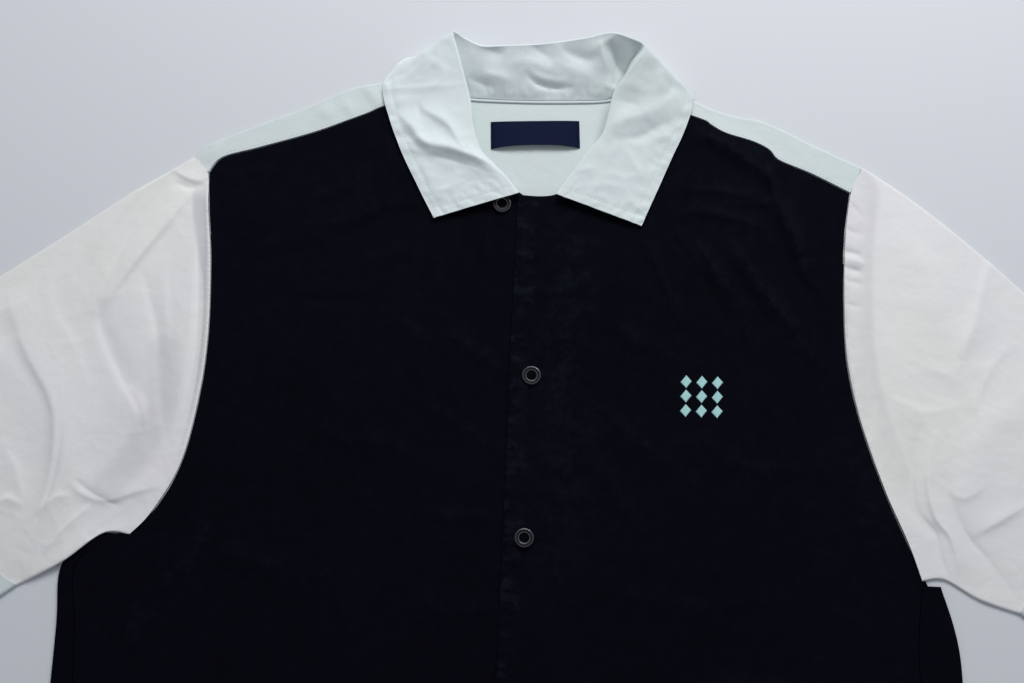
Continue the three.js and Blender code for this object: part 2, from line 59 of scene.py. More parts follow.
# Side seams from the hem up: height, folded edge, and seam to the front.
SIDES = {
    "right": [(-510, -291, -276), (-380, -294, -278), (-260, -295, -279), (-182, -296, -284),
              (-146, -298, -289), (-129, -288, -277), (-119.5, -271, -256)],
    "left": [(-510, 292, 276), (-380, 295, 276), (-260, 297, 274), (-176, 296, 269), (-129, 284, 272)],
}
ARMHOLES = {
    "right": [(-254, -121), (-241, -104), (-225, -71), (-217, -25), (-215, 20), (-218, 70), (-223, 108),
              (-226, 136)],
    "left": [(271, -127), (263, -102), (248, -68), (232, -22), (223, 20), (221, 64), (222, 108), (226, 142)],
}

# Creases are lines along the cloth: how high they stand, how far they reach to their left and their right,
# and where they run. The ones under the shirt lift everything that lies on them.
UNDER_CREASES = [
    (0.9, 9, 16, [(-180, 40), (-120, -30), (-40, -70), (60, -80)]),
    (0.8, 14, 8, [(190, 60), (150, -40), (160, -140), (130, -230)]),
    (1.2, 10, 18, [(-240, -220), (-150, -260), (-60, -350), (20, -380)]),
    (1.0, 16, 9, [(250, -300), (160, -340), (90, -430), (60, -505)]),
    (0.9, 8, 14, [(-250, -400), (-190, -440), (-120, -450), (-40, -500)]),
    (0.7, 12, 12, [(-30, 70), (10, -20), (0, -150), (30, -260)]),
    (0.8, 8, 12, [(-150, 190), (-90, 150), (-60, 110)]),
    (0.8, 12, 8, [(160, 180), (110, 150), (80, 100)]),
    (1.1, 9, 14, [(-380, 20), (-330, -30), (-290, -90)]),
    (1.1, 14, 9, [(370, 20), (320, -20), (290, -90)]),
]
TOP_CREASES = [
    # right sleeve
    (2.2, 40, 34, [(-420, 0), (-372, -48), (-338, -108), (-330, -152)]),
    (1.6, 22, 26, [(-250, 132), (-266, 80), (-268, 10), (-266, -66)]),
    (-1.6, 6, 3, [(-243, 143), (-262, 116), (-278, 83), (-287, 58), (-292, 40)]),
    (2.6, 2, 11, [(-233, 124), (-247, 102), (-262, 79), (-279, 52), (-292, 26)]),
    (-2.2, 8, 2.4, [(-293, 40), (-288, 18), (-271, -14), (-256, -38)]),
    (-1.6, 7, 2.4, [(-266, 64), (-251, 20), (-244, -26), (-234, -64)]),
    (0.6, 2, 9, [(-252, 74), (-246, 40), (-240, 0)]),
    (0.6, 2, 9, [(-276, 0), (-262, -30), (-252, -62)]),
    (1.6, 4, 18, [(-236, 128), (-231, 94), (-228.5, 43), (-229, -10), (-236, -56)]),
    (1.2, 1.2, 1.4, [(-226, 124), (-221, 74), (-217.8, 22), (-219.5, -24), (-227, -70), (-243, -102)]),
    (-1.5, 1.6, 1.6, [(-229, 84), (-224, 40), (-223, 0), (-228, -36)]),
    (3.4, 22, 4, [(-358, 44), (-340, 4), (-318, -30), (-311, -56), (-313, -96), (-324, -134)]),
    (-1.5, 2, 3, [(-309, -44), (-307, -66), (-311, -96), (-321, -130)]),
    (2.0, 10, 2.4, [(-300, -86), (-286, -96), (-270, -98), (-254, -92), (-234, -86)]),
    (-1.6, 3, 2, [(-296, -84), (-282, -94), (-262, -102)]),
    (1.8, 2.4, 5, [(-310, -136), (-296, -116), (-278, -98)]),
    (1.2, 2.4, 4, [(-318, -110), (-306, -98), (-294, -96)]),
    (-2.6, 2, 2.6, [(-282, -124), (-264, -112), (-246, -98)]),
    (1.5, 2.4, 5, [(-352, -110), (-338, -100), (-326, -106)]),
    (0.8, 2.4, 8, [(-268, -18), (-256, -30), (-250, -52)]),
    (1.6, 2.4, 6, [(-222, 128), (-238, 130), (-254, 138)]),
    (-1.5, 2, 3, [(-220, 134), (-236, 124), (-252, 129)]),
    (1.0, 2.4, 6, [(-250, 140), (-270, 122), (-290, 92), (-300, 64)]),
    (1.3, 5, 10, [(-408, 30), (-372, 26), (-340, 38)]),
    (1.3, 3, 9, [(-400, -16), (-366, -8), (-346, 14)]),
    (0.7, 3, 12, [(-330, 60), (-322, 30), (-304, 4), (-290, -30)]),
    (0.8, 2.6, 7, [(-350, -60), (-336, -78), (-326, -104)]),
    # left sleeve
    (2.2, 34, 40, [(404, 8), (350, -10), (322, -60), (320, -128)]),
    (1.6, 26, 18, [(266, 142), (276, 70), (268, 0), (266, -70)]),
    (-2.8, 1.8, 7, [(238, 148), (241, 98), (243, 50), (242, 10), (238, -34)]),
    (1.6, 6, 9, [(231, 146), (230, 98), (231, 50), (232, 10), (240, -40)]),
    (1.1, 1.4, 1.2, [(227, 130), (224, 100), (223, 62), (225, 20), (233, -20), (249, -68)]),
    (-1.0, 1.6, 2, [(225, 136), (230, 130), (235, 124)]),
    (-0.8, 1.6, 2, [(219, 117), (229, 113), (239, 112)]),
    (-1.8, 1.6, 2.6, [(217, 100), (228, 98), (241, 94)]),
    (-1.8, 1.6, 3, [(217, 88), (228, 86), (241, 83)]),
    (-1.0, 1.6, 2.4, [(218, 79), (228, 77), (238, 75)]),
    (-0.6, 1.4, 2, [(219, 62), (228, 60), (236, 59)]),
    (0.9, 2, 3, [(219, 94), (229, 92), (241, 89)]),
    (2.0, 8, 2.6, [(326, 100), (318, 84), (314, 68), (309, 50), (299, 26)]),
    (1.0, 6, 12, [(318, 60), (310, 46), (292, 4)]),
    (-2.2, 1.6, 4, [(272, -20), (267, -52), (268, -78), (281, -94), (284, -108), (293, -130)]),
    (2.0, 6, 2, [(281, -24), (276, -56), (280, -82), (291, -98), (297, -122)]),
    (-1.2, 3, 8, [(286, -52), (300, -90), (317, -111), (338, -140)]),
    (1.6, 2.6, 8, [(346, -70), (324, -84), (304, -96)]),
    (0.8, 8, 14, [(256, 118), (272, 100), (284, 72), (286, 40)]),
    (0.8, 4, 9, [(252, -4), (276, -12), (300, -6)]),
    (0.9, 2.6, 7, [(340, 40), (322, 20), (306, -14)]),
    (0.9, 2.6, 7, [(316, -60), (300, -70), (288, -64)]),
    # right front
    (1.8, 42, 50, [(-150, 150), (-130, 40), (-140, -80), (-160, -220)]),
    (1.0, 40, 40, [(-120, -260), (-130, -340), (-100, -440)]),
    (-1.4, 4, 7, [(-212, 136), (-197, 145), (-182, 152)]),
    (1.3, 5, 4, [(-210, 128), (-196, 138), (-180, 143)]),
    (-1.3, 4, 5, [(-192, 118), (-178, 134), (-164, 154)]),
    (1.3, 4, 7, [(-150, 121), (-119, 135), (-88, 152)]),
    (-1.4, 5, 6, [(-146, 98), (-126, 95), (-110, 104), (-89, 115), (-68, 106)]),
    (1.4, 8, 5, [(-146, 104), (-126, 103), (-108, 112), (-86, 122)]),
    (-1.1, 5, 5, [(-194, 72), (-167, 78), (-140, 86)]),
    (1.3, 5, 8, [(-110, 76), (-91, 84), (-77, 86), (-56, 76)]),
    (-1.3, 2.5, 4, [(-172, 50), (-132, 47), (-104, 48)]),
    (1.1, 4, 6, [(-108, 46), (-84, 35), (-66, 24), (-44, 3)]),
    (-1.1, 4, 3, [(-40, 112), (-37, 93), (-33, 70)]),
    (1.1, 5, 4, [(-30, 108), (-27, 88), (-22, 66)]),
    (1.4, 4, 8, [(-62, 32), (-35, 20), (-4, -2)]),
    (1.3, 4, 8, [(-70, -16), (-32, -39), (-4, -56)]),
    (1.0, 6, 6, [(-150, -36), (-112, -50), (-60, -45)]),
    (-1.1, 3, 4, [(-213, 48), (-209, 15), (-208, -18)]),
    (1.4, 5, 9, [(-210, -118), (-173, -133), (-112, -141)]),
    (1.3, 5, 8, [(-66, -92), (-36, -98), (-4, -96)]),
    (1.3, 6, 8, [(-70, -150), (-40, -160), (-4, -154)]),
    (2.1, 7, 14, [(-268, -196), (-226, -150), (-196, -86)]),
    (1.9, 8, 16, [(-264, -260), (-200, -300), (-130, -290), (-60, -330)]),
    (1.8, 14, 8, [(-240, -460), (-170, -400), (-110, -390), (-40, -430)]),
    (1.3, 6, 9, [(-280, -330), (-240, -350), (-196, -400)]),
    # right shoulder
    (1.3, 5, 1.8, [(-151, 190), (-148, 184), (-144, 179)]),
    (1.3, 5, 1.8, [(-137, 195), (-132, 188), (-127, 182)]),
    (1.7, 5, 2, [(-122, 206), (-115, 199), (-110, 190)]),
    (1.2, 2, 4, [(-219, 160), (-223, 152), (-226, 142)]),
    # left front
    (2.4, 40, 44, [(150, 140), (158, 40), (150, -70), (160, -200)]),
    (1.0, 40, 40, [(140, -280), (130, -360), (150, -450)]),
    (3.6, 8, 6, [(107, 188), (120, 181), (139, 171), (156, 161), (173, 146)]),
    (-1.6, 5, 6, [(104, 178), (120, 169), (139, 160), (153, 150), (168, 140)]),
    (3.6, 7, 3, [(150, 176), (165, 162), (174, 132), (184, 110), (190, 93), (196, 78), (209, 62)]),
    (-2.0, 4, 4, [(172, 118), (180, 98), (188, 80), (200, 64)]),
    (2.0, 6, 3, [(96, 118), (107, 136), (125, 140), (146, 136), (166, 130), (178, 114)]),
    (1.9, 5, 3, [(100, 108), (112, 121), (127, 122), (145, 118), (164, 112), (176, 97)]),
    (1.4, 1.6, 1.6, [(136, 128), (155, 130), (178, 132)]),
    (2.4, 4, 6, [(84, 102), (91, 84), (101, 60), (113, 39)]),
    (2.6, 5, 6, [(110, 112), (126, 90), (138, 71), (152, 44), (160, 16)]),
    (-1.8, 4, 4, [(104, 104), (118, 86), (130, 66), (143, 40)]),
    (3.0, 5, 7, [(138, 108), (154, 86), (168, 63), (186, 43), (203, 10)]),
    (-1.9, 4, 4, [(132, 98), (147, 78), (160, 58), (178, 36)]),
    (1.6, 3, 4, [(102, 114), (114, 94), (125, 74)]),
    (-1.4, 4, 3, [(186, 90), (204, 95), (226, 98)]),
    (1.4, 8, 8, [(58, 58), (74, 32), (95, 21), (130, 8)]),
    (1.1, 5, 5, [(14, 56), (35, 66), (56, 80)]),
    (1.0, 4, 4, [(14, -5), (27, 1), (42, 9)]),
    (1.3, 5, 9, [(34, -22), (57, -62), (90, -104)]),
    (1.3, 6, 10, [(116, -36), (164, -57), (218, -46)]),
    (2.1, 6, 12, [(226, -20), (233, -62), (262, -124)]),
    (1.3, 5, 9, [(44, -12), (83, -40), (130, -76)]),
    (1.1, 8, 6, [(50, -130), (110, -150), (190, -140)]),
    (1.9, 12, 7, [(268, -180), (216, -210), (150, -200), (70, -240)]),
    (1.9, 8, 16, [(270, -330), (200, -350), (140, -330), (60, -370)]),
    (1.6, 12, 7, [(250, -440), (180, -420), (120, -460), (40, -470)]),
]


def curve_through(rows, by_length=True):
    """A smooth curve through the rows, as a function of the share of its length, or of the rows passed."""
    rows = np.array(rows, float)
    padded = np.vstack([rows[:1], rows, rows[-1:]])
    part = np.linspace(0, 1, 24, endpoint=False)[:, None]
    stretches = []
    for before, start, end, after in zip(padded, padded[1:], padded[2:], padded[3:]):
        leave, arrive = (end - before) / 2, (after - start) / 2
        rise = 3 * (end - start) - 2 * leave - arrive
        settle = 2 * (start - end) + leave + arrive
        stretches.append(start + leave * part + rise * part**2 + settle * part**3)
    dense = np.vstack([*stretches, rows[-1:]])
    gone = np.arange(len(dense), dtype=float)
    if by_length:
        gone[1:] = np.cumsum(np.linalg.norm(np.diff(dense, axis=0), axis=1))
    gone /= gone[-1]

    def at(shares):
        return np.stack([np.interp(shares, gone, column) for column in dense.T], axis=-1)

    return at


def end_to_end(first, second, share):
    """Two curves in a row, the first taking the given share of the way."""

    def at(shares):
        shares = np.atleast_1d(shares)
        early = (shares <= share)[:, None]
        return np.where(early, first(shares / share), second((shares - share) / (1 - share)))

    return at


def smooth_step(values, low, high):
    share = np.clip((values - low) / (high - low), 0, 1)
    return share * share * (3 - 2 * share)


def steps(*stretches):
    """Shares from 0 to 1 in stretches, each given as where it ends and its count of even steps."""
    shares, start = [np.zeros(1)], 0
    for end, count in stretches:
        shares.append(np.linspace(start, end, count + 1)[1:])
        start = end
    return np.concatenate(shares)


def patch(bottom, top, left, right, across, up):
    """A grid of points inside four edge curves, at shares across it and up it."""
    u, v = across[None, :, None], up[:, None, None]
    sideways = (1 - u) * left(up)[:, None] + u * right(up)[:, None]
    upwards = (1 - v) * bottom(across)[None] + v * top(across)[None]
    ends = np.array([0.0, 1.0])
    low, high = bottom(ends), top(ends)
    corners = (1 - v) * ((1 - u) * low[0] + u * low[1]) + v * ((1 - u) * high[0] + u * high[1])
    return sideways + upwards - corners


def laid(creases, samples=64):
    """Creases with their lines made smooth paths."""
    paths = [curve_through(line)(np.linspace(0, 1, samples)) for *_, line in creases]
    return [(*crease[:3], path, np.gradient(path, axis=0)) for crease, path in zip(creases, paths)]


def crease_lift(places, creases):
    """How far laid creases lift the cloth at the places, an array of x and y."""
    lift = np.zeros(len(places))
    for height, left, right, path, run in creases:
        spacing = np.linalg.norm(run, axis=1).mean()
        reach = 2.6 * max(left, right)
        close = (places > path.min(0) - reach).all(1) & (places < path.max(0) + reach).all(1)
        near = np.flatnonzero(close)
        offsets = places[near, None] - path
        nearest = (offsets**2).sum(2).argmin(1)
        offset = offsets[np.arange(len(near)), nearest]
        along = run[nearest] / np.linalg.norm(run[nearest], axis=1, keepdims=True)
        forward = (offset * along).sum(1)
        beside = along[:, 0] * offset[:, 1] - along[:, 1] * offset[:, 0]
        share = np.clip((nearest + forward / spacing) / (len(path) - 1), 0, 1)
        past_end = np.where((share <= 0) | (share >= 1), forward, 0)
        wide = np.where(beside > 0, left, right)
        roundness = 1.15 + 0.85 * smooth_step(wide, 4, 14)  # narrow sides meet in a sharp crest
        taper = np.sin(np.pi * share) ** 0.8
        lift[near] += height * taper * np.exp(-((np.abs(beside) / wide) ** roundness)
                                              - (past_end / (left + right)) ** 2)
    return lift


def ripple(places, size, seed):
    """Smooth unevenness of a given size, between -1 and 1."""
    heights = np.random.default_rng(seed).uniform(-1, 1, (128, 128))
    spot = places @ np.array([[0.8, -0.6], [0.6, 0.8]]) / size + 60
    cell = np.floor(spot).astype(int)
    u, v = smooth_step(spot - cell, 0, 1).T
    x, y = cell.T % 127
    low = heights[x, y] * (1 - u) + heights[x + 1, y] * u
    high = heights[x, y + 1] * (1 - u) + heights[x + 1, y + 1] * u
    return low * (1 - v) + high * v


def crumple(places, size, seed):
    """The faint net of sharp ridges that worn cotton keeps, from 0 in the hollows to 1 along a ridge."""
    corners = np.random.default_rng(seed).uniform(0, 1, (128, 128, 2))
    bend = 0.3 * np.stack([ripple(places, size, seed + 1), ripple(places, size, seed + 2)], axis=1)
    spot = places / size + 60 + bend
    cell = np.floor(spot).astype(int)
    gaps = []
    for step in np.ndindex(3, 3):
        other = cell + step - 1
        gaps.append(np.linalg.norm(spot - other - corners[tuple(other.T % 128)], axis=1))
    nearest, second = np.sort(gaps, axis=0)[:2]
    shown = smooth_step(ripple(places, 2 * size, seed + 3), -0.5, 0.4)
    return shown * np.maximum(1 - (second - nearest) / 0.35, 0)


under_creases, top_creases = laid(UNDER_CREASES), laid(TOP_CREASES)


def under_level(places):
    """Height of the middle of the cloth that lies on the table."""
    lift = crease_lift(places, under_creases) + 0.12 * crumple(places, 44, 20)
    return UNDER + np.maximum(lift, 0)


def upper_level(places):
    """Height of the middle of the cloth that lies on that."""
    lift = crease_lift(places, top_creases)
    lift += 0.35 * ripple(places, 70, 30) + 0.12 * ripple(places, 17, 31)
    lift += 0.25 * crumple(places, 52, 40) + 0.14 * crumple(places, 21, 50)
    lowest, softness = -0.35, 0.25
    lift = lowest + softness * np.logaddexp(0, (lift - lowest) / softness)
    return under_level(places) + UPPER - UNDER + lift


def raised(plan, level):
    """A grid of x and y, with the heights that a level function gives it."""
    places = plan.reshape(-1, 2)
    return np.concatenate([plan, level(places).reshape(*plan.shape[:2], 1)], axis=2)


def folded_strip(fold, seam, rows, columns):
    """A grid of cloth that comes round a folded edge from underneath and runs on top to its seam."""
    shares = np.linspace(0, 1, rows + 1)
    edge, end = fold(shares), seam(shares)
    width = np.linalg.norm(end - edge, axis=1)
    inward = (end - edge) / width[:, None]
    low, high = under_level(edge + 3 * inward), upper_level(edge + 3 * inward)
    radius, middle = (high - low) / 2, (high + low) / 2
    grid = []
    for distance in (UNDERLAP, UNDERLAP * 0.75, UNDERLAP * 0.5):
        plan = edge + distance * inward
        grid.append(np.column_stack([plan, under_level(plan)]))
    for turn in np.radians([-75, -45, -15, 15, 45, 75]):
        plan = edge + (radius * (1 - math.cos(turn)))[:, None] * inward
        grid.append(np.column_stack([plan, middle + radius * math.sin(turn)]))
    for share in np.linspace(0, 1, columns + 1):
        distance = 1.6 * radius + share * (width - GAP - 1.6 * radius)
        plan = edge + distance[:, None] * inward
        grid.append(np.column_stack([plan, upper_level(plan)]))
    return np.stack(grid, axis=1)


def inset_curve(fold, seam, distance):
    """A curve beside a folded edge, towards its seam."""

    def at(shares):
        inward = seam(shares) - fold(shares)
        return fold(shares) + distance * inward / np.linalg.norm(inward, axis=1, keepdims=True)

    return at


def cloth_piece(name, grids, thickness=CLOTH, ringed=False, marks=None):
    """Sews grids of mid-surface points into one thin closed shell. Its UV map "cut" holds real metres along
    the threads, and marks holds values for the material, as functions of x and y."""
    mesh = bpy.data.meshes.new(name)
    points, faces, cuts = [], [], []
    for grid in grids:
        rows, columns = grid.shape[:2]
        index = sum(map(len, points)) + np.arange(rows * columns).reshape(rows, columns)
        wide = np.c_[index, index[:, :1]] if ringed else index
        quads = np.stack([wide[:-1, :-1], wide[:-1, 1:], wide[1:, 1:], wide[1:, :-1]], axis=-1)
        faces.append(quads.reshape(-1, 4))
        across = np.linalg.norm(np.diff(grid, axis=1), axis=2)
        along = np.linalg.norm(np.diff(grid, axis=0), axis=2).mean(1)
        u = np.c_[np.zeros(rows), np.cumsum(across, axis=1)]
        u += grid[:, :1, 0] - u[:, :1]
        v = np.r_[0, np.cumsum(along)] + grid[0, :, 1].mean()
        cuts.append(np.stack([u, np.repeat(v[:, None], columns, 1)], axis=-1).reshape(-1, 2))
        points.append(grid.reshape(-1, 3))
    points, faces, cuts = np.vstack(points), np.vstack(faces), np.vstack(cuts)
    mesh.from_pydata(points * MM, [], faces.tolist())
    layer = mesh.uv_layers.new(name="cut")
    layer.data.foreach_set("uv", (cuts[faces.ravel()] * MM).ravel())
    for mark, value_at in (marks or {}).items():
        attribute = mesh.attributes.new(mark, "FLOAT", "POINT")
        attribute.data.foreach_set("value", value_at(points[:, :2]))
    piece = bpy.data.objects.new(name, mesh)
    bpy.context.scene.collection.objects.link(piece)
    shell = bmesh.new()
    shell.from_mesh(mesh)
    bmesh.ops.remove_doubles(shell, verts=shell.verts, dist=0.02 * MM)
    bmesh.ops.recalc_face_normals(shell, faces=shell.faces)
    shell.to_mesh(mesh)
    shell.free()
    wall = piece.modifiers.new("wall", "SOLIDIFY")
    wall.thickness = thickness * MM
    wall.offset = 0
    finish_mesh(piece)
    return piece


def finish_mesh(piece, sharp_from=50):
    """Applies a piece's modifiers and shades it smooth, keeping its cut edges sharp."""
    bpy.ops.object.select_all(action="DESELECT")
    piece.select_set(True)
    bpy.context.view_layer.objects.active = piece
    for modifier in list(piece.modifiers):
        bpy.ops.object.modifier_apply(modifier=modifier.name)
    bpy.ops.object.shade_smooth_by_angle(angle=math.radians(sharp_from))


def node_adder(material):
    """A short way to add a node, with its settings and inputs, to a material."""
    tree = material.node_tree

    def add(kind, settings=None, **inputs):
        node = tree.nodes.new("ShaderNode" + kind)
        for key, value in (settings or {}).items():
            setattr(node, key, value)
        for key, value in inputs.items():
            socket = node.inputs[int(key[1:])] if key[1:].isdigit() else node.inputs[key.replace("_", " ")]
            if isinstance(value, bpy.types.NodeSocket):
                tree.links.new(value, socket)
            else:
                socket.default_value = value
        return node.outputs[0] if kind != "TexCoord" else node

    return add


def woven_cotton(name, tone, other_tone, tint, roughness, specular, patchy=(-2, 0.6)):
    """Plain-woven cotton: threads over and under each other, uneven dye, puckers beside its seams where the
    mark "seam" is high, and another tone, more or less patchy, where the mark "tinted" is high."""
    material = bpy.data.materials.new(name)
    material.use_nodes = True
    shader = material.node_tree.nodes["Principled BSDF"]
    add = node_adder(material)
    cut = add("UVMap", {"uv_map": "cut"})
    place = add("TexCoord").outputs["Object"]
    seam = add("Attribute", {"attribute_name": "seam"}).node.outputs["Fac"]
    tinted = add("Attribute", {"attribute_name": "tinted"}).node.outputs["Fac"]
    thread_pitch = 0.00042
    wave_scale = 2 * math.pi / 20 / thread_pitch
    warp = add("TexWave", {"bands_direction": "X"}, Vector=cut, Scale=wave_scale, Distortion=0.6)
    weft = add("TexWave", {"bands_direction": "Y"}, Vector=cut, Scale=wave_scale, Distortion=0.6)
    crossing = add("Math", {"operation": "MULTIPLY"}, _0=warp, _1=weft)
    slub_map = add("Mapping", Vector=cut, Scale=(1, 0.25, 1))
    slub = add("TexNoise", Vector=slub_map, Scale=1500, Detail=2)
    threads = add("Math", {"operation": "ADD"}, _0=crossing, _1=slub)
    weave = add("Bump", Strength=0.35, Distance=0.00012, Height=threads)
    rumple = add("TexNoise", Vector=place, Scale=110, Detail=3, Roughness=0.5)
    rumpled = add("Bump", Strength=0.25, Distance=0.0016, Height=rumple, Normal=weave)
    pucker_noise = add("TexNoise", Vector=place, Scale=170, Detail=2)
    pucker = add("Math", {"operation": "MULTIPLY"}, _0=pucker_noise, _1=seam)
    puckered = add("Bump", Strength=0.8, Distance=0.0014, Height=pucker, Normal=rumpled)
    cloud = add("TexNoise", Vector=place, Scale=6, Detail=4, Roughness=0.6)
    fleck = add("TexNoise", Vector=place, Scale=240, Detail=3)
    dye = add("MapRange", Value=cloud, From_Min=0.36, From_Max=0.64)
    dyed = add("Mix", {"data_type": "RGBA"}, _0=dye, _6=tone, _7=other_tone).node.outputs[2]
    patches = add("TexNoise", Vector=place, Scale=110, Detail=6, Roughness=0.75)
    patch_share = add("MapRange", Value=patches, From_Min=patchy[0], From_Max=patchy[1])
    tint_share = add("Math", {"operation": "MULTIPLY"}, _0=tinted, _1=patch_share)
    coloured = add("Mix", {"data_type": "RGBA"}, _0=tint_share, _6=dyed, _7=tint).node.outputs[2]
    rough = add("MapRange", Value=fleck, To_Min=roughness - 0.06, To_Max=roughness + 0.06)
    links = material.node_tree.links
    links.new(coloured, shader.inputs["Base Color"])
    links.new(rough, shader.inputs["Roughness"])
    links.new(puckered, shader.inputs["Normal"])
    shader.inputs["Specular IOR Level"].default_value = specular
    return material


def side_curves(side):
    fold = curve_through([(edge, y) for y, edge, _ in SIDES[side]])
    seam = curve_through([(sewn, y) for y, _, sewn in SIDES[side]])
    return fold, seam


def straight(start, end):
    return curve_through([start, end])


def distance_to(places, line):
    """Distance of each place from a line, an array of points."""
    return np.sqrt(((places[:, None] - line) ** 2).sum(2).min(1))


def armhole_mark(places):
    """High beside the armholes, where the seams draw the cloth up."""
    shares = np.linspace(0, 1, 60)
    both = np.vstack([curve_through(ARMHOLES[side])(shares) for side in ARMHOLES])
    return np.exp(-((distance_to(places, both) / 5) ** 2)) * 0.5


def make_back():
    side_rows, armhole_rows, columns, strip_columns = 112, 50, 90, 8
    share = side_rows / (side_rows + armhole_rows)
    edges, strips = {}, []
    for side in ("right", "left"):
        fold, seam = side_curves(side)
        under_armhole = [(x, y) for x, y in ARMHOLES[side] if y < YOKE_SEAM_Y]
        corner = (-220.5 if side == "right" else 221.5, YOKE_SEAM_Y)
        inner = inset_curve(fold, seam, UNDERLAP)
        start = tuple(inner(np.array([1.0]))[0])
        rest = curve_through([start, *under_armhole[1:], corner])
        edges[side] = end_to_end(inner, rest, share)
        strips.append(folded_strip(fold, seam, side_rows, strip_columns))
    low = [edges[side](np.array([0.0]))[0] for side in ("right", "left")]
    high = [edges[side](np.array([1.0]))[0] for side in ("right", "left")]
    plan = patch(straight(*low), straight(*high), edges["right"], edges["left"], steps((1, columns)),
                 steps((1, side_rows + armhole_rows)))
    return cloth_piece("back_cloth", [raised(plan, under_level), *strips], marks={"seam": armhole_mark})


# The navy's paler third tone paints wear and crease highlights on the fronts, and, where less of it is laid,
# crease shade.
navy_cotton = woven_cotton(
    "navy_cotton", (0.0021, 0.0021, 0.0048, 1), (0.0026, 0.0028, 0.0060, 1), (0.0050, 0.0068, 0.0115, 1),
    roughness=0.8, specular=0.025, patchy=(0.4, 0.68),
)
back_cloth = make_back()
back_cloth.data.materials.append(navy_cotton)
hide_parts("back")
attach(back_cloth, "root")

# ---- Yoke ----
# The yoke is a panel of mint cotton across the shoulders. It is sewn to the back below, comes over both
# shoulders to the top, and is sewn there to the fronts. Its inside shows in the open neck.

# Shoulders from the armhole to the neck: folded edge, then seam to the front.
SHOULDERS = {
    "right": [(-236, 147, -226, 136), (-229, 155.5, -217.5, 147.5), (-196, 172, -193, 156),
              (-158, 189, -153, 170), (-132, 203, -119, 185), (-107, 210, -104, 192.5), (-64, 229, -60, 208)],
    "left": [(234, 161, 226, 142), (200, 176, 199, 155), (177, 187, 176, 164), (161, 193, 169, 171.5),
             (146, 195, 157.5, 177), (129, 199.5, 138, 182.5), (119, 204, 128, 188), (110, 208, 119, 193),
             (68, 228, 64, 210)],
}
BACK_NECK = [(-64, 229), (-54, 208), (-44, 200.8), (-30, 200.3), (5, 200.9), (42, 202.8), (58, 208),
             (68, 228)]


def shoulder_curves(side):
    fold = curve_through([(x, y) for x, y, _, _ in SHOULDERS[side]])
    seam = curve_through([(x, y) for _, _, x, y in SHOULDERS[side]])
    return fold, seam


def make_yoke():
    rows, shoulder_columns, neck_columns, strip_columns = 44, 64, 56, 8
    columns = 2 * shoulder_columns + neck_columns
    tops, sides, strips = {}, {}, []
    for side in ("right", "left"):
        fold, seam = shoulder_curves(side)
        tops[side] = inset_curve(fold, seam, UNDERLAP)
        corner = (-220.5 if side == "right" else 221.5, YOKE_SEAM_Y + GAP)
        shoulder_end = tuple(tops[side](np.array([0.0]))[0])
        upper_armhole = [(x, y) for x, y in ARMHOLES[side] if YOKE_SEAM_Y < y < 120]
        sides[side] = curve_through([corner, *upper_armhole, shoulder_end])
        strips.append(folded_strip(fold, seam, shoulder_columns, strip_columns))
    neck_start, neck_end = (tops[side](np.array([1.0]))[0] for side in ("right", "left"))
    neck = curve_through([neck_start, *BACK_NECK[1:-1], neck_end])
    right_part = end_to_end(tops["right"], neck, shoulder_columns / (shoulder_columns + neck_columns))
    left_top = tops["left"]
    top = end_to_end(right_part, lambda shares: left_top(1 - shares), 1 - shoulder_columns / columns)
    low = [sides[side](np.array([0.0]))[0] for side in ("right", "left")]
    plan = patch(straight(*low), top, sides["right"], sides["left"], steps((1, columns)), steps((1, rows)))
    return cloth_piece("yoke_cloth", [raised(plan, under_level), *strips], marks={"seam": armhole_mark})


def sewn_along(line, level, pitch=2.8, share=0.7):
    """Where the stitches along a line of x and y start and end on the cloth."""
    path = curve_through(line)
    places = path(np.linspace(0, 1, 200))
    count = max(int(np.linalg.norm(np.diff(places, axis=0), axis=1).sum() / pitch), 2)
    middles = (np.arange(count) + 0.5) / count
    starts, ends = path(middles - share / count / 2), path(middles + share / count / 2)
    return tuple(np.column_stack([spots, level(spots) + CLOTH / 2]) for spots in (starts, ends))


def add_thread(name, spans, thread, radius=0.2):
    """Stitches between given starts and ends: five-sided bars that narrow and dip in at both ends."""
    starts, ends = (np.vstack(side) for side in zip(*spans))
    run = ends - starts
    along = run / np.linalg.norm(run, axis=1, keepdims=True)
    beside = np.cross(along, [0, 0, 1])
    beside /= np.linalg.norm(beside, axis=1, keepdims=True)
    upward = np.cross(beside, along)
    turns = np.radians(np.arange(5) * 72)[:, None]
    ring = radius * (beside[:, None] * np.cos(turns) + upward[:, None] * np.sin(turns))
    first, last = (starts + 0.22 * run)[:, None] + ring, (ends - 0.22 * run)[:, None] + ring
    sunk = radius * upward
    points = np.concatenate([(starts - sunk)[:, None], first, last, (ends - sunk)[:, None]], axis=1)
    sides = [(1 + k, 1 + (k + 1) % 5, 6 + (k + 1) % 5, 6 + k) for k in range(5)]
    tips = [(0, 1 + (k + 1) % 5, 1 + k) for k in range(5)] + [(11, 6 + k, 6 + (k + 1) % 5) for k in range(5)]
    faces = [[12 * bar + corner for corner in face] for bar in range(len(starts)) for face in sides + tips]
    mesh = bpy.data.meshes.new(name)
    mesh.from_pydata(points.reshape(-1, 3) * MM, [], faces)
    piece = bpy.data.objects.new(name, mesh)
    bpy.context.scene.collection.objects.link(piece)
    bars = bmesh.new()
    bars.from_mesh(mesh)
    bmesh.ops.recalc_face_normals(bars, faces=bars.faces)
    bars.to_mesh(mesh)
    bars.free()
    finish_mesh(piece)
    mesh.materials.append(thread)
    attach(piece, "root")
    return piece


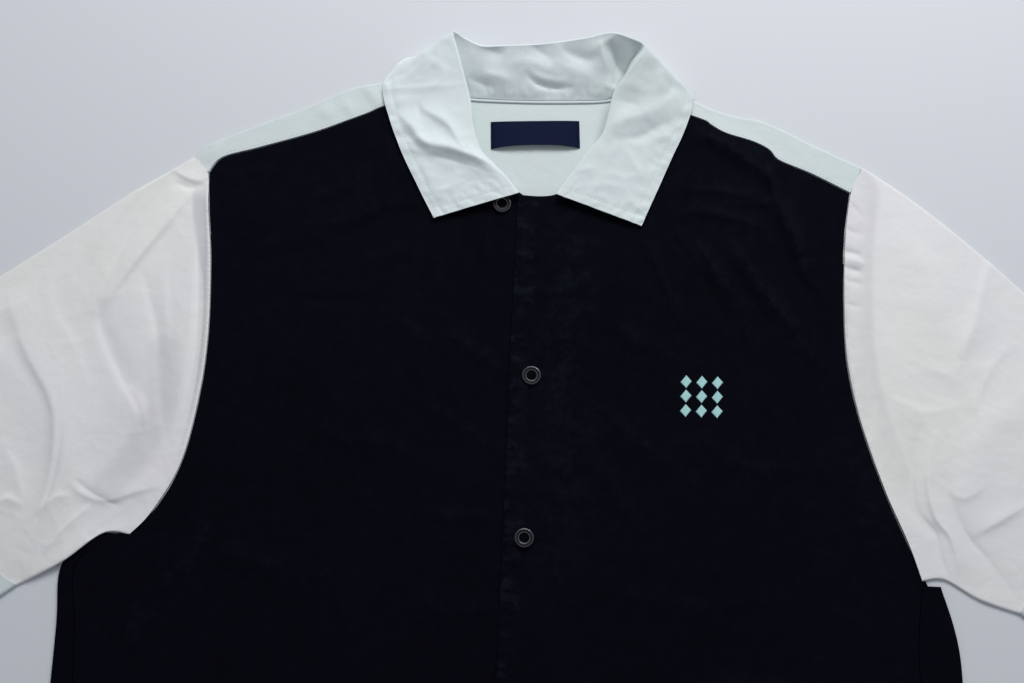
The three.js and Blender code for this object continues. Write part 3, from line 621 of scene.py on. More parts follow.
def spun_thread(name, tone, specular=0.2):
    """Twisted sewing thread, with a little shine."""
    material = bpy.data.materials.new(name)
    material.use_nodes = True
    shader = material.node_tree.nodes["Principled BSDF"]
    shader.inputs["Base Color"].default_value = tone
    shader.inputs["Roughness"].default_value = 0.55
    shader.inputs["Specular IOR Level"].default_value = specular
    return material


# The mint's paler third tone is painted light on the collar's shaded stand and leaves.
mint_cotton = woven_cotton(
    "mint_cotton", (0.630, 0.715, 0.700, 1), (0.665, 0.725, 0.735, 1), (0.735, 0.81, 0.82, 1),
    roughness=0.9, specular=0.2,
)
yoke_cloth = make_yoke()
yoke_cloth.data.materials.append(mint_cotton)
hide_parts("yoke")
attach(yoke_cloth, "root")

mint_thread = spun_thread("mint_thread", (0.60, 0.69, 0.68, 1))
yoke_edges = []
for side in ("right", "left"):
    beside_seam = [(seam_x, seam_y + 2) for _, _, seam_x, seam_y in SHOULDERS[side]]
    yoke_edges.append(sewn_along(beside_seam, upper_level))
yoke_stitches = add_thread("yoke_stitches", yoke_edges, mint_thread)

# ---- Fronts ----
# The two fronts are navy cotton, sewn to the yoke, the back's side strips and the sleeves. The left one laps
# over the right one down the middle, where its folded edge has two rows of stitching.

LAPPED = 3.1  # middle of the left front where it covers the right one
LEFT_FRONT_EDGE_X = -7
RIGHT_FRONT_EDGE_X = 24
LAP_SLOPE = (30, 60)  # where the left front comes down beside the lap
EDGE_LINES = (8, 14)  # stitching, from the left front's edge
FRONT_NECKS = {
    "right": [(-60, 208), (-50, 180), (-31, 150), (0, 127)],
    "left": [(64, 210), (60, 182), (40, 152), (20, 131), (LEFT_FRONT_EDGE_X, 129)],
}


def edge_puckers(places):
    """How high the cloth puckers between the rows of stitching and the left front's edge."""
    beside = places[:, 0] - LEFT_FRONT_EDGE_X
    drawn = np.exp(-(((beside - 3) / 4) ** 2)) + 0.7 * np.exp(-(((beside - 11) / 4.5) ** 2))
    return 0.85 * drawn * ripple(places * (0.25, 1), 3.0, 90) * (places[:, 1] < 124)


def lapped_level(places):
    """Height of the middle of the left front, which is higher over the lap and puckers at its stitching."""
    lapped = upper_level(places) + (LAPPED - UPPER) * (1 - smooth_step(places[:, 0], *LAP_SLOPE))
    beside = places[:, 0] - LEFT_FRONT_EDGE_X
    grooves = sum(np.exp(-(((beside - line) / 1.2) ** 2)) for line in EDGE_LINES)
    return lapped + edge_puckers(places) - 0.12 * grooves * (places[:, 1] < 124)


def front_edges(side):
    shoulder_share, side_share = 0.6, 0.5
    sign = -1 if side == "right" else 1
    side_seam = curve_through([(sewn - sign * GAP, y) for y, _, sewn in SIDES[side]])
    armhole = curve_through([(x - 2 * sign * GAP, y - 2 * GAP) for x, y in ARMHOLES[side]])
    neck = FRONT_NECKS[side]
    shoulder = curve_through([*[(x, y - GAP) for _, _, x, y in SHOULDERS[side][:-1]], neck[0]])
    if side == "right":
        edge_x, edge_rows = RIGHT_FRONT_EDGE_X, [(0, HEM_Y), (0, -120), (-3, 20)]
    else:
        edge_x, edge_rows = LEFT_FRONT_EDGE_X, [(0, HEM_Y), (1, -200), (0, 0)]
    centre = [(edge_x + x, y) for x, y in edge_rows]
    hem = [side_seam(np.array([0.0]))[0], (sign * 140, HEM_Y), centre[0]]
    return (
        curve_through(hem),
        end_to_end(shoulder, curve_through(neck), shoulder_share),
        end_to_end(side_seam, armhole, side_share),
        curve_through([*centre, neck[-1]]),
    )


def placket_mark(places):
    """High beside the stitching of the left front's edge, and at the armholes."""
    beside = places[:, 0] - LEFT_FRONT_EDGE_X
    stitched = np.exp(-(((beside - 6) / 7) ** 2)) * (places[:, 1] < 128)
    return np.maximum(stitched, armhole_mark(places))


small_creases = laid([crease for crease in TOP_CREASES if max(crease[1:3]) < 20])


def worn_and_shading_mark(places):
    """High along the crests of the small creases and low in their hollows: partly wear, partly a painted
    highlight on the crests and painted shade in the hollows.
    """
    return np.clip(0.3 + 0.22 * crease_lift(places, small_creases), 0, 0.9)


def rubbed_and_shading_mark(places):
    """The mark of the crease crests and hollows, higher where the left front has rubbed pale beside its edge,
    between the collar and the third button, and paler again on the puckers of its stitching, a painted
    highlight on their crests."""
    across = np.exp(-(((places[:, 0] - 32) / 16) ** 2)) + 0.7 * np.exp(-(((places[:, 0] + 1) / 6) ** 2))
    down = smooth_step(places[:, 1], -190, -60) * (1 - smooth_step(places[:, 1], 90, 140))
    high = smooth_step(edge_puckers(places), 0.05, 0.5)
    return worn_and_shading_mark(places) + 0.6 * across * down + 2.2 * high


def make_front(side, level, marks):
    plan = patch(*front_edges(side), steps((0.93, 124), (1, 20)), steps((0.33, 64), (0.5, 40), (1, 180)))
    return cloth_piece(f"front_{side}_cloth", [raised(plan, level)], marks=marks)


# The fronts' tinted marks carry worn and painted-highlight crease crests, and painted shade in crease
# hollows.
front_right_cloth = make_front("right", upper_level, {"seam": armhole_mark, "tinted": worn_and_shading_mark})
front_left_cloth = make_front("left", lapped_level, {"seam": placket_mark, "tinted": rubbed_and_shading_mark})
for piece, node in ((front_right_cloth, "front_right"), (front_left_cloth, "front_left")):
    piece.data.materials.append(navy_cotton)
    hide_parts(node)
    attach(piece, "root")

# Two rows of stitching hold the left front's edge, one its neck, and one the hems. Each buttonhole is a slit
# between two rows of close stitches, with a bar across both its ends.
BUTTONHOLES = [(3, 108), (6, -1), (5, -111), (5, -221), (5, -331), (5, -441)]
BUTTONHOLE_LENGTH = 15
HEM = 12
navy_thread = spun_thread("navy_thread", (0.0025, 0.0028, 0.0060, 1), specular=0.04)
rows_of_stitches = []
for line in EDGE_LINES:
    x = LEFT_FRONT_EDGE_X + line
    rows_of_stitches.append(sewn_along([(x, HEM_Y + 1), (x + 1, -200), (x, 0), (x, 127)], lapped_level))
rows_of_stitches.append(sewn_along([(LEFT_FRONT_EDGE_X, 123), (8, 124), (18, 126)], lapped_level))
rows_of_stitches.append(sewn_along([(LEFT_FRONT_EDGE_X + 16, HEM_Y + HEM), (274, HEM_Y + HEM)], lapped_level))
rows_of_stitches.append(sewn_along([(-274, HEM_Y + HEM), (LEFT_FRONT_EDGE_X - 2, HEM_Y + HEM)], upper_level))
front_stitches = add_thread("front_stitches", rows_of_stitches, navy_thread)

slits = []
for x, y in BUTTONHOLES:
    spots = np.arange(x, x + BUTTONHOLE_LENGTH, 0.5)
    rows = [(spots, y + 0.2, spots, y + 1.5), (spots, y - 0.2, spots, y - 1.5)]
    ends = np.array([x - 0.3, x, x + BUTTONHOLE_LENGTH - 0.2])
    rows.append((ends, y - 1.5, ends + 0.05, y + 1.5))
    for start_x, start_y, end_x, end_y in rows:
        starts = np.column_stack([start_x, np.full(len(start_x), start_y)])
        finishes = np.column_stack([end_x, np.full(len(end_x), end_y)])
        slits.append(tuple(np.column_stack([at, lapped_level(at) + CLOTH / 2]) for at in (starts, finishes)))
buttonhole_stitches = add_thread("buttonhole_stitches", slits, navy_thread, radius=0.25)

# ---- Sleeves ----
# Each sleeve is one piece of white cotton sewn into a tube, set into the armhole, and lies flattened with
# its own folds. A turned-up band of mint cotton finishes it.

# Lower and top edges from the armhole outwards, the seam to the band from the lower edge up, and the way the
# band runs on from it at its two ends.
SLEEVES = {
    "right": {
        "lower": [(-254.6, -119.6), (-272, -119.6), (-297, -140), (-327, -157)],
        "top": [(-236.6, 147), (-280, 117), (-333, 76), (-418, 12)],
        "band_seam": [(-327, -157), (-347, -141), (-380, -78), (-418, 12)],
        "band_ways": [(-18, -14), (-19, -15)],
    },
    "left": {
        "lower": [(272, -125.5), (287, -124), (310, -136), (337, -144)],
        "top": [(234.6, 161), (271, 137), (324, 94), (402, 22)],
        "band_seam": [(337, -144), (351, -118), (374, -60), (402, 22)],
        "band_ways": [(19, -14), (18, -16)],
    },
}
BAND_WIDTH = 24
ALLOWANCE_CORNER = [(-244, 6), (-241, -24), (-248, -50), (-261, -74), (-275, -92)]
armpits = laid([(3.4, 9, 9, [(-256, -120), (-272, -121), (-290, -133), (-308, -147), (-322, -153)])])
UPPER_COLUMNS, UNDER_COLUMNS, FOLD_TURNS = 210, 70, (60, 20, -20, -60)


def sleeve_under_level(places):
    """Height of the middle of a sleeve's lower layer, which lies over the body's corner at the armpit."""
    return under_level(places) + crease_lift(places, armpits)


def sleeve_upper_level(places):
    return upper_level(places) + 0.8 * crease_lift(places, armpits)


def levelled(plans, level, lift=0):
    """Rows of x and y with the heights of a level function, which is called once for them all."""
    places = np.stack(plans)
    return raised(places, lambda flat: level(flat) + lift)


def flat_tube(plan, lift=0):
    """A flattened tube: each row of the plan runs from the lower edge to the top one, and the ring goes
    along it on top, round the fold, and back underneath."""
    curves = [curve_through(row) for row in plan]
    widths = np.linalg.norm(np.diff(plan, axis=1), axis=2).sum(1)
    ends = [curve(np.array([3 / width, 1 - 3 / width])) for curve, width in zip(curves, widths)]
    low, high = levelled(ends, sleeve_under_level)[..., 2], levelled(ends, sleeve_upper_level, lift)[..., 2]
    radii, middles = (high - low) / 2, (high + low) / 2
    insets = 1.5 * radii / widths[:, None]
    upper, under, arcs = [], [], [[], []]
    for curve, width, radius, middle, inset in zip(curves, widths, radii, middles, insets):
        upper.append(curve(np.linspace(inset[0], 1 - inset[1], UPPER_COLUMNS + 1)))
        under.append(curve(np.linspace(1 - inset[1], inset[0], UNDER_COLUMNS + 1)))
        for end, turns in ((0, FOLD_TURNS[::-1]), (1, FOLD_TURNS)):
            angles = np.radians(turns)
            shares = radius[end] * (1 - np.cos(angles)) / width
            places = curve(1 - shares if end else shares)
            arcs[end].append(np.column_stack([places, middle[end] + radius[end] * np.sin(angles)]))
    tops = levelled(upper, sleeve_upper_level, lift)
    return np.concatenate([tops, arcs[1], levelled(under, sleeve_under_level), arcs[0]], axis=1)


def allowance_mark(places):
    """High where the seam's navy allowance, turned into the sleeve, shows through the thin white cotton."""
    shares = np.linspace(0, 1, 80)
    right, left = (curve_through(ARMHOLES[side])(shares) for side in ("right", "left"))
    beside_right, beside_left = distance_to(places, right), distance_to(places, left)
    width = 4 + 7 * smooth_step(places[:, 1], 30, 110)
    narrow = (1 - smooth_step(beside_right, width - 2, width + 2)) * smooth_step(places[:, 1], -60, 10)
    wide = 0.35 * (1 - smooth_step(beside_left, 19, 22)) + 0.25 * np.exp(-(((beside_left - 17) / 4) ** 2))
    corner = np.exp(-((distance_to(places, curve_through(ALLOWANCE_CORNER)(shares)) / 11) ** 4))
    narrow *= smooth_step(beside_right, 1.2, 2.4) * (1 - smooth_step(places[:, 1], 112, 130))
    return 0.62 * narrow + 0.45 * wide * smooth_step(places[:, 1], -90, 0) + 0.3 * corner


def make_sleeve(side):
    sleeve = SLEEVES[side]
    sign = -1 if side == "right" else 1
    armhole = [(x + 2 * sign * GAP, y) for x, y in ARMHOLES[side][1:]]
    edges = (
        curve_through([sleeve["lower"][0], *armhole, sleeve["top"][0]]),
        curve_through(sleeve["band_seam"]),
        curve_through(sleeve["lower"]),
        curve_through(sleeve["top"]),
    )
    plan = patch(*edges, steps((1, 60)), steps((0.1, 24), (1, 106)))
    marks = {"seam": armhole_mark, "tinted": allowance_mark}
    return cloth_piece(f"sleeve_{side}_cloth", [flat_tube(plan)], ringed=True, marks=marks)


def make_band(side):
    sleeve = SLEEVES[side]
    shares = np.linspace(0, 1, 61)
    seam = curve_through(sleeve["band_seam"])(shares)
    way = np.array(straight(*sleeve["band_ways"])(shares))
    way /= np.linalg.norm(way, axis=1, keepdims=True)
    plan = np.stack([seam + distance * way for distance in np.linspace(-1.5, BAND_WIDTH, 13)])
    return cloth_piece(f"band_{side}_cloth", [flat_tube(plan, lift=0.5)], thickness=1.1, ringed=True)


white_cotton = woven_cotton(
    "white_cotton", (0.80, 0.79, 0.82, 1), (0.80, 0.81, 0.78, 1), (0.47, 0.465, 0.51, 1),
    roughness=0.9, specular=0.2,
)
sleeves, bands = {}, {}
for side in ("right", "left"):
    sleeves[side] = make_sleeve(side)
    sleeves[side].data.materials.append(white_cotton)
    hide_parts(f"sleeve_{side}")
    bands[side] = make_band(side)
    bands[side].data.materials.append(mint_cotton)
    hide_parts(f"band_{side}")
    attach(sleeves[side], "root")
    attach(bands[side], "root")

# ---- Collar ----
# The collar is two layers of mint cotton sewn round the neck. It stands up from the neck seam, rolls over,
# and falls into two open leaves in front. At the nape it is pushed back, so that its inside shows.

# Sections round the neck from the right leaf's front end to the left one's: neck seam, roll and outer edge,
# each x, y and z, and the height half-way down the fall, or nearer the roll where a share is given.
COLLAR = [
    ((-9, 131, 3.1), (-6, 129, 9), (-65, 109, 4.6), 7.8, 0.5),
    ((-20, 139, 3.1), (-14, 139, 9.6), (-73, 123, 4.6), 8.0, 0.5),
    ((-33, 149, 3.1), (-24, 149, 10.2), (-81, 138, 4.6), 8.1, 0.5),
    ((-45, 164, 3.1), (-34, 159, 10.8), (-89, 153, 4.6), 8.2, 0.5),
    ((-51, 182, 3.1), (-40, 176, 11.4), (-97, 171, 4.6), 8.4, 0.5),
    ((-56, 199, 3.1), (-43, 195, 12.2), (-103, 187, 4.4), 8.7, 0.5),
    ((-60, 214, 3.3), (-48, 212, 13.4), (-106, 197, 4.0), 9.3, 0.5),
    ((-62, 226, 3.6), (-54, 231, 15.5), (-107, 205, 3.5), 10.5, 0.5),
    ((-62, 231, 3.0), (-58, 245, 17), (-105, 214, 1.9), 10.5, 0.5),
    ((-60, 216, 2.0), (-49.5, 240, 18), (-91, 230, 0.8), 1.0, 0.3),
    ((-50, 203, 1.9), (-37.5, 235, 18), (-57, 233, 0.8), 0.8, 0.2),
    ((-31, 200.8, 1.8), (-24, 236, 17.5), (-36, 208, 0.8), 0.8, 0.15),
    ((4, 201.2, 1.8), (5, 239, 17), (3, 202, 0.8), 0.8, 0.15),
    ((38, 203, 1.8), (35, 244, 18.5), (42, 209, 0.8), 0.8, 0.15),
    ((56, 206, 1.9), (53, 248, 20.5), (62, 234, 0.8), 0.8, 0.2),
    ((65, 220, 2.0), (67, 244.5, 21.5), (90, 229, 0.8), 1.0, 0.3),
    ((68, 232, 3.0), (77, 238, 21.5), (112, 213, 1.9), 12, 0.5),
    ((66, 226, 3.6), (70, 226, 20), (114, 206, 3.5), 12, 0.5),
    ((66, 215, 3.3), (62, 214, 16.5), (112, 193, 4.0), 10.6, 0.5),
    ((66, 203, 3.1), (56, 204, 14), (107, 178, 4.4), 9.6, 0.5),
    ((64, 189, 3.1), (53, 190, 12.6), (102, 166, 4.6), 9.0, 0.5),
    ((58, 174, 3.1), (49, 174, 11.6), (96, 151, 4.6), 8.6, 0.5),
    ((48, 160, 3.8), (40, 162, 11), (91, 138, 4.6), 8.4, 0.5),
    ((36, 146, 4.4), (30, 147, 10.4), (85, 123, 4.6), 8.2, 0.5),
    ((23, 132, 4.4), (19, 129, 10), (80, 110, 4.6), 8.0, 0.5),
]
COLLAR_THICKNESS = 1.1
EDGE_STITCH = 6.5  # from the leaves' edges to their stitching
ROLL_REACH = 5  # from the roll to where its two layers run straight
LOWEST = 0.75  # middle of the collar where it comes nearest to the table
LEAF_CREASES = [
    # right leaf
    (0.8, 1.4, 3, [(-106, 203), (-73, 205), (-44, 207)]),
    (2.6, 6, 2.2, [(-80, 191), (-74, 186), (-67, 182), (-59, 176), (-54, 169), (-47, 157)]),
    (5.2, 7, 4, [(-96, 186), (-90, 180), (-84, 174), (-79, 166), (-71, 161), (-56, 158), (-44, 154),
                 (-30, 149), (-12, 138)]),
    (-1.2, 3, 4, [(-96, 178), (-86, 168), (-74, 156), (-56, 151), (-36, 144), (-18, 136)]),
    (1.2, 4, 1.8, [(-90, 160), (-76, 156), (-58, 155)]),
    (0.9, 4, 2.2, [(-60, 149), (-44, 146), (-30, 141), (-18, 138)]),
    (-1.0, 2, 2, [(-82, 194), (-80, 188), (-79, 181)]),
    (0.8, 3, 6, [(-64, 236), (-70, 222), (-82, 214)]),
    (0.6, 2.4, 6, [(-60, 220), (-66, 208), (-80, 200)]),
    (0.7, 2.4, 5, [(-70, 120), (-62, 128), (-44, 136)]),
    # left leaf
    (2.6, 9, 7, [(44, 174), (53, 178), (64, 184), (78, 190), (92, 198), (100, 210)]),
    (-2.0, 4, 6, [(56, 171), (66, 172), (76, 175), (86, 181), (96, 187), (108, 193)]),
    (1.3, 7, 6, [(54, 214), (68, 211), (80, 208), (90, 212)]),
    (-1.2, 5, 7, [(58, 202), (69, 198), (80, 196)]),
    (-1.0, 2, 2, [(86, 230), (89, 226), (93, 223)]),
    (1.3, 2.5, 3, [(87, 223), (90, 215), (91, 206)]),
    (-1.3, 3, 3, [(94, 226), (98, 219), (98, 212), (94, 203)]),
    (0.8, 2, 5, [(65, 168), (75, 152), (82, 140)]),
    (0.8, 3, 2, [(31, 146), (40, 148), (49, 149)]),
    (0.7, 3, 5, [(40, 134), (56, 138), (70, 134)]),
]
STAND_CREASES = [
    (-2.2, 7, 7, [(-38, 236), (-30, 232), (-21, 229)]),
    (-1.6, 5, 5, [(-4, 238), (6, 232), (15, 226)]),
    (1.2, 4, 4, [(-21, 222), (-7, 226), (8, 222), (20, 218)]),
    (-2.8, 5, 6, [(18, 236), (29, 232), (40, 230), (48, 233)]),
    (0.9, 5, 6, [(12, 229), (28, 222), (44, 218)]),
    (-3.2, 5, 2.6, [(-7, 221), (-2, 215), (4, 211.5), (13, 210), (23, 210), (30, 211)]),
    (1.8, 2, 5, [(-8, 223), (2, 217), (13, 214.5), (26, 214.5)]),
    (-1.8, 3, 4, [(-48, 214), (-38, 211), (-27, 207)]),
    (1.3, 2.6, 5, [(-38, 217), (-25, 215), (-14, 212)]),
    (-8.5, 6, 6.5, [(51, 242), (57, 233), (59.5, 224), (57, 212)]),
    (2.0, 4, 4, [(45, 242), (49, 232), (51, 222)]),
]


def collar_section(seam, roll, edge, knee_height, knee_share):
    """Points up the stand to the roll, round it, and down the fall."""
    seam, roll, edge = (np.array(point, float) for point in (seam, roll, edge))
    knee = roll + knee_share * (edge - roll)
    knee[2] = knee_height
    stand_way = (seam - roll) / np.linalg.norm(seam - roll)
    fall_way = (knee - roll) / np.linalg.norm(knee - roll)
    fall = [(1 - t) ** 2 * roll + 2 * t * (1 - t) * knee + t * t * edge for t in (0.25, 0.5, 0.75, 1)]
    softened = roll + 0.7 * (stand_way + fall_way)
    leaning = seam + 0.35 * (roll - seam)
    leaning[2] += 0.07 * (roll[2] - seam[2])
    return [seam, leaning, roll + ROLL_REACH * stand_way, softened, roll + ROLL_REACH * fall_way, *fall]


def collar_grid():
    """The collar's middle surface: rows go round the neck, columns from the neck seam to the outer edge. Also
    how far each point is from the front edges and from the outer edge."""
    sections = np.array([collar_section(*row) for row in COLLAR])
    count, controls = sections.shape[:2]
    rows = steps((0.05, 20), (0.34, 70), (0.66, 120), (0.95, 70), (1, 20))
    sections = curve_through(sections.reshape(count, -1))(rows).reshape(-1, controls, 3)
    stops = steps((0.25, 24), (0.5, 22), (0.9, 34), (1, 14))
    grid = np.stack([curve_through(section, by_length=False)(stops) for section in sections])
    around = np.linalg.norm(np.diff(grid, axis=0), axis=2)
    from_first = np.vstack([np.zeros(len(stops)), np.cumsum(around, axis=0)])
    to_front = np.minimum(from_first, from_first[-1] - from_first)
    down = np.linalg.norm(np.diff(grid, axis=1), axis=2)
    from_seam = np.c_[np.zeros(len(grid)), np.cumsum(down, axis=1)]
    to_edge = from_seam[:, -1:] - from_seam
    places = grid[..., :2].reshape(-1, 2)
    fall = smooth_step(stops * 8, 3, 4.6)[None, :] * np.ones((len(grid), 1))
    nape = np.exp(-((grid[..., 0] / 78) ** 10)) * smooth_step(grid[..., 1], 196, 204)
    own = 0.45 * ripple(places, 30, 60) + 0.5 * crumple(places, 24, 70) + 0.18 * crumple(places, 11, 75)
    leaf = (crease_lift(places, laid(LEAF_CREASES)) + own).reshape(fall.shape)
    other_side = 700 * (grid[..., 0] > 0)
    edge_rows = ((to_edge, to_front, 0.8, 4.4, 80), (to_front, from_seam, 0.6, 2.8, 81))
    for inward, along, height, size, seed in edge_rows:
        spots = np.stack([(along + other_side).ravel(), 0.3 * inward.ravel()], axis=1)
        drawn = np.exp(-(((inward - 2.6) / 3) ** 2)) + 0.6 * np.exp(-(((inward - 10.5) / 4.5) ** 2))
        leaf += height * drawn * ripple(spots, size, seed).reshape(fall.shape)
        leaf -= 0.22 * np.exp(-(((inward - EDGE_STITCH) / 1.3) ** 2))
    gathers = np.exp(-(((from_seam - 5.5) / 4) ** 2)).ravel() * ripple(places * (1, 0.25), 2.2, 79)
    stand_own = 0.4 * crumple(places, 20, 77) + 0.5 * ripple(places, 11, 78) + 0.55 * gathers
    stand = (crease_lift(places, laid(STAND_CREASES)) + stand_own).reshape(fall.shape)
    stand = np.maximum(stand, -0.75 * (grid[..., 2] - 1.5))
    below_roll = 1 - 0.8 * smooth_step(stops * 8, 1.7, 3.1) - 0.2 * smooth_step(stops * 8, 3.1, 4.6)
    grid[..., 2] += stand * nape * below_roll * smooth_step(from_seam, 0, 4)
    away = np.maximum(smooth_step(np.abs(grid[..., 0]), 26, 44), 1 - smooth_step(grid[..., 1], 170, 195))
    grid[..., 2] += leaf * fall * away
    grid[..., 2] = np.maximum(grid[..., 2], LOWEST)
    return grid, to_front, to_edge


def collar_painted_light_mark(places):
    """Painted light: high inside the nape and on the leaves away from the left shoulder, painting the collar
    paler where its stand and sloping leaves lie in shade.
    """
    x, y = places.T
    left_shoulder = smooth_step(y + 0.3 * x, 165, 215) * smooth_step(x, 44, 56)
    return (0.95 - 0.35 * smooth_step(x, 10, 40)) * (1 - left_shoulder)


collar_points, to_front, to_edge = collar_grid()
# The collar's tinted mark paints light onto its shaded stand and leaves.
collar_marks = {"tinted": collar_painted_light_mark}
collar_cloth = cloth_piece("collar_cloth", [collar_points], thickness=COLLAR_THICKNESS, marks=collar_marks)
collar_cloth.data.materials.append(mint_cotton)
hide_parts("collar")
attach(collar_cloth, "root")

# One row of stitching runs beside the front and outer edges of the collar.
ROLL_COLUMN = 48
collar_up = np.cross(np.gradient(collar_points, axis=1), np.gradient(collar_points, axis=0))
collar_up /= np.linalg.norm(collar_up, axis=2, keepdims=True)
if collar_up[0, -1, 2] < 0:
    collar_up = -collar_up
collar_top = collar_points + (COLLAR_THICKNESS / 2) * collar_up
half_way = len(collar_top) // 2


def crossing(points, distances, distance):
    """Where a line of points passes a given distance, when the distances fall or rise along it."""
    order = np.argsort(distances)
    return [np.interp(distance, distances[order], points[order, axis]) for axis in range(3)]


def sewn_through(path, pitch=2.8, share=0.7):
    """Where the stitches along a path of points start and end."""
    at = curve_through(path)
    count = int(np.linalg.norm(np.diff(path, axis=0), axis=1).sum() / pitch)
    middles = (np.arange(count) + 0.5) / count
    return at(middles - share / count / 2), at(middles + share / count / 2)


collar_rows = []
outer_rows = [row for row in range(len(collar_top)) if to_front[row, -1] > EDGE_STITCH]
outer_line = [crossing(collar_top[row, 60:], to_edge[row, 60:], EDGE_STITCH) for row in outer_rows]
collar_rows.append(sewn_through(np.array(outer_line)))
for half in (slice(0, half_way), slice(half_way, None)):
    front_line = []
    for column in range(ROLL_COLUMN, collar_top.shape[1]):
        if to_edge[half][:, column].max() > EDGE_STITCH:
            front_line.append(crossing(collar_top[half, column], to_front[half, column], EDGE_STITCH))
    collar_rows.append(sewn_through(np.array(front_line)))
collar_stitches = add_thread("collar_stitches", collar_rows, mint_thread)

# A narrow binding covers the neck seam inside, across the nape.
BINDING = [(-66, 216), (-58, 206), (-50, 200.8), (-43, 199.7), (-30, 199.4), (5, 200), (41, 201.9), (56, 204),
           (62, 207), (68, 217)]
BINDING_RADIUS = 0.9


def make_binding():
    line = curve_through(BINDING)(np.linspace(0, 1, 81))
    run = np.gradient(line, axis=0)
    across = np.column_stack([-run[:, 1], run[:, 0]]) / np.linalg.norm(run, axis=1, keepdims=True)
    middle = under_level(line) + CLOTH / 2 + 0.7 * BINDING_RADIUS
    ring = []
    for turn in np.radians(np.arange(0, 360, 30)):
        plan = line + BINDING_RADIUS * math.cos(turn) * across
        ring.append(np.column_stack([plan, middle + 0.5 * BINDING_RADIUS * math.sin(turn)]))
    return cloth_piece("neck_binding", [np.stack(ring, axis=1)], thickness=0.4, ringed=True)


neck_binding = make_binding()
neck_binding.data.materials.append(mint_cotton)
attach(neck_binding, "root")

# ---- Label ----
# The label is a strip of navy satin weave, sewn to the inside of the yoke by its two ends, so that its middle
# stands off the cloth. It is left plain.

LABEL_CENTRE = (3, 175)
LABEL_SIZE = (63, 20.5)
LABEL_TURN = math.radians(3.3)


def make_label():
    across, up = np.meshgrid(np.linspace(-1, 1, 45), np.linspace(-1, 1, 15))
    x, y = across * LABEL_SIZE[0] / 2, up * LABEL_SIZE[1] / 2
    turned_x = x * math.cos(LABEL_TURN) - y * math.sin(LABEL_TURN)
    turned_y = x * math.sin(LABEL_TURN) + y * math.cos(LABEL_TURN)
    plan = np.stack([turned_x, turned_y], axis=-1) + LABEL_CENTRE
    plan[..., 1] += 0.9 * (1 - across**2) * (1 - up)
    bow = (1 - across**4) * (2.2 - 1.3 * up)
    bowed = raised(plan, lambda at: under_level(at) + 0.7 + bow.ravel())
    return cloth_piece("label_cloth", [bowed], thickness=0.5)


label_satin = bpy.data.materials.new("label_satin")
label_satin.use_nodes = True
add = node_adder(label_satin)
label_cut = add("UVMap", {"uv_map": "cut"})
ribs = add("TexWave", {"bands_direction": "Y"}, Vector=label_cut, Scale=700, Distortion=0.3)
floats = add("TexWave", {"bands_direction": "DIAGONAL"}, Vector=label_cut, Scale=420, Distortion=0.5)
label_threads = add("Math", {"operation": "ADD"}, _0=ribs, _1=floats)
label_weave = add("Bump", Strength=0.3, Distance=0.0001, Height=label_threads)
satin = label_satin.node_tree.nodes["Principled BSDF"]
satin.inputs["Base Color"].default_value = (0.0060, 0.0095, 0.0320, 1)
satin.inputs["Roughness"].default_value = 0.7
satin.inputs["Specular IOR Level"].default_value = 0.04
label_satin.node_tree.links.new(label_weave, satin.inputs["Normal"])
label_cloth = make_label()
label_cloth.data.materials.append(label_satin)
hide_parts("label")
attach(label_cloth, "root")

label_ends = []
for sign in (-1, 1):
    x, y = sign * (LABEL_SIZE[0] / 2 - 1.5), LABEL_SIZE[1] / 2 - 1
    slope = math.tan(LABEL_TURN)
    ends_line = [(x + y * slope, x * slope - y), (x - y * slope, x * slope + y)]
    ends_line = np.array(ends_line) + LABEL_CENTRE
    label_ends.append(sewn_along(ends_line, lambda at: under_level(at) + 1.3, pitch=2))
label_stitches = add_thread("label_stitches", label_ends, navy_thread)

# ---- Chest motif ----
# A small motif of nine lozenges is embroidered on the left front in aqua satin stitch.

MOTIF_CENTRE = (124, -9)
LOZENGE_SPACING = (10.6, 10)
LOZENGE_REACH = (4.7, 4.4)
SATIN_PITCH = 0.5

aqua_thread = spun_thread("aqua_thread", (0.42, 0.70, 0.70, 1))
lozenges = []
for column in (-1, 0, 1):
    for row in (-1, 0, 1):
        centre_x = MOTIF_CENTRE[0] + column * LOZENGE_SPACING[0]
        centre_y = MOTIF_CENTRE[1] + row * LOZENGE_SPACING[1]
        offsets = np.arange(-LOZENGE_REACH[1] + 0.3, LOZENGE_REACH[1], SATIN_PITCH)
        reach = LOZENGE_REACH[0] * (1 - np.abs(offsets) / LOZENGE_REACH[1])
        slant = 0.12 * reach
        starts = np.column_stack([centre_x - reach, centre_y + offsets - slant])
        ends = np.column_stack([centre_x + reach, centre_y + offsets + slant])
        tops = (np.column_stack([at, lapped_level(at) + CLOTH / 2 + 0.1]) for at in (starts, ends))
        lozenges.append(tuple(tops))
chest_motif = add_thread("chest_motif", lozenges, aqua_thread, radius=0.38)

# ---- Buttons ----
# The buttons are turned from dark resin: a glossier lip at the edge and another round the sunk well, both
# painted paler as highlights, a dark rim between the two, and four holes. They are sewn to the right front.
# The top one is left open.

BUTTON_RADIUS = 6.35
BUTTON_THICKNESS = 2.4
HOLE_OFFSET = 1.15
HOLE_RADIUS = 0.6
LIP_WIDTH = 0.55
LIP_HEIGHT = 0.45
# From the lip inwards: the finish of each ring, its width, and how far its inner edge lies above the outer.
RINGS = [(1, 1.55, -0.12), (0, LIP_WIDTH, -0.6), (2, 0, 0)]
BUTTONS = [(-18, 122, 2.6), (8, 0, 3.9), (8, -110, 3.9), (8, -220, 3.9), (8, -330, 3.9), (8, -440, 3.9)]


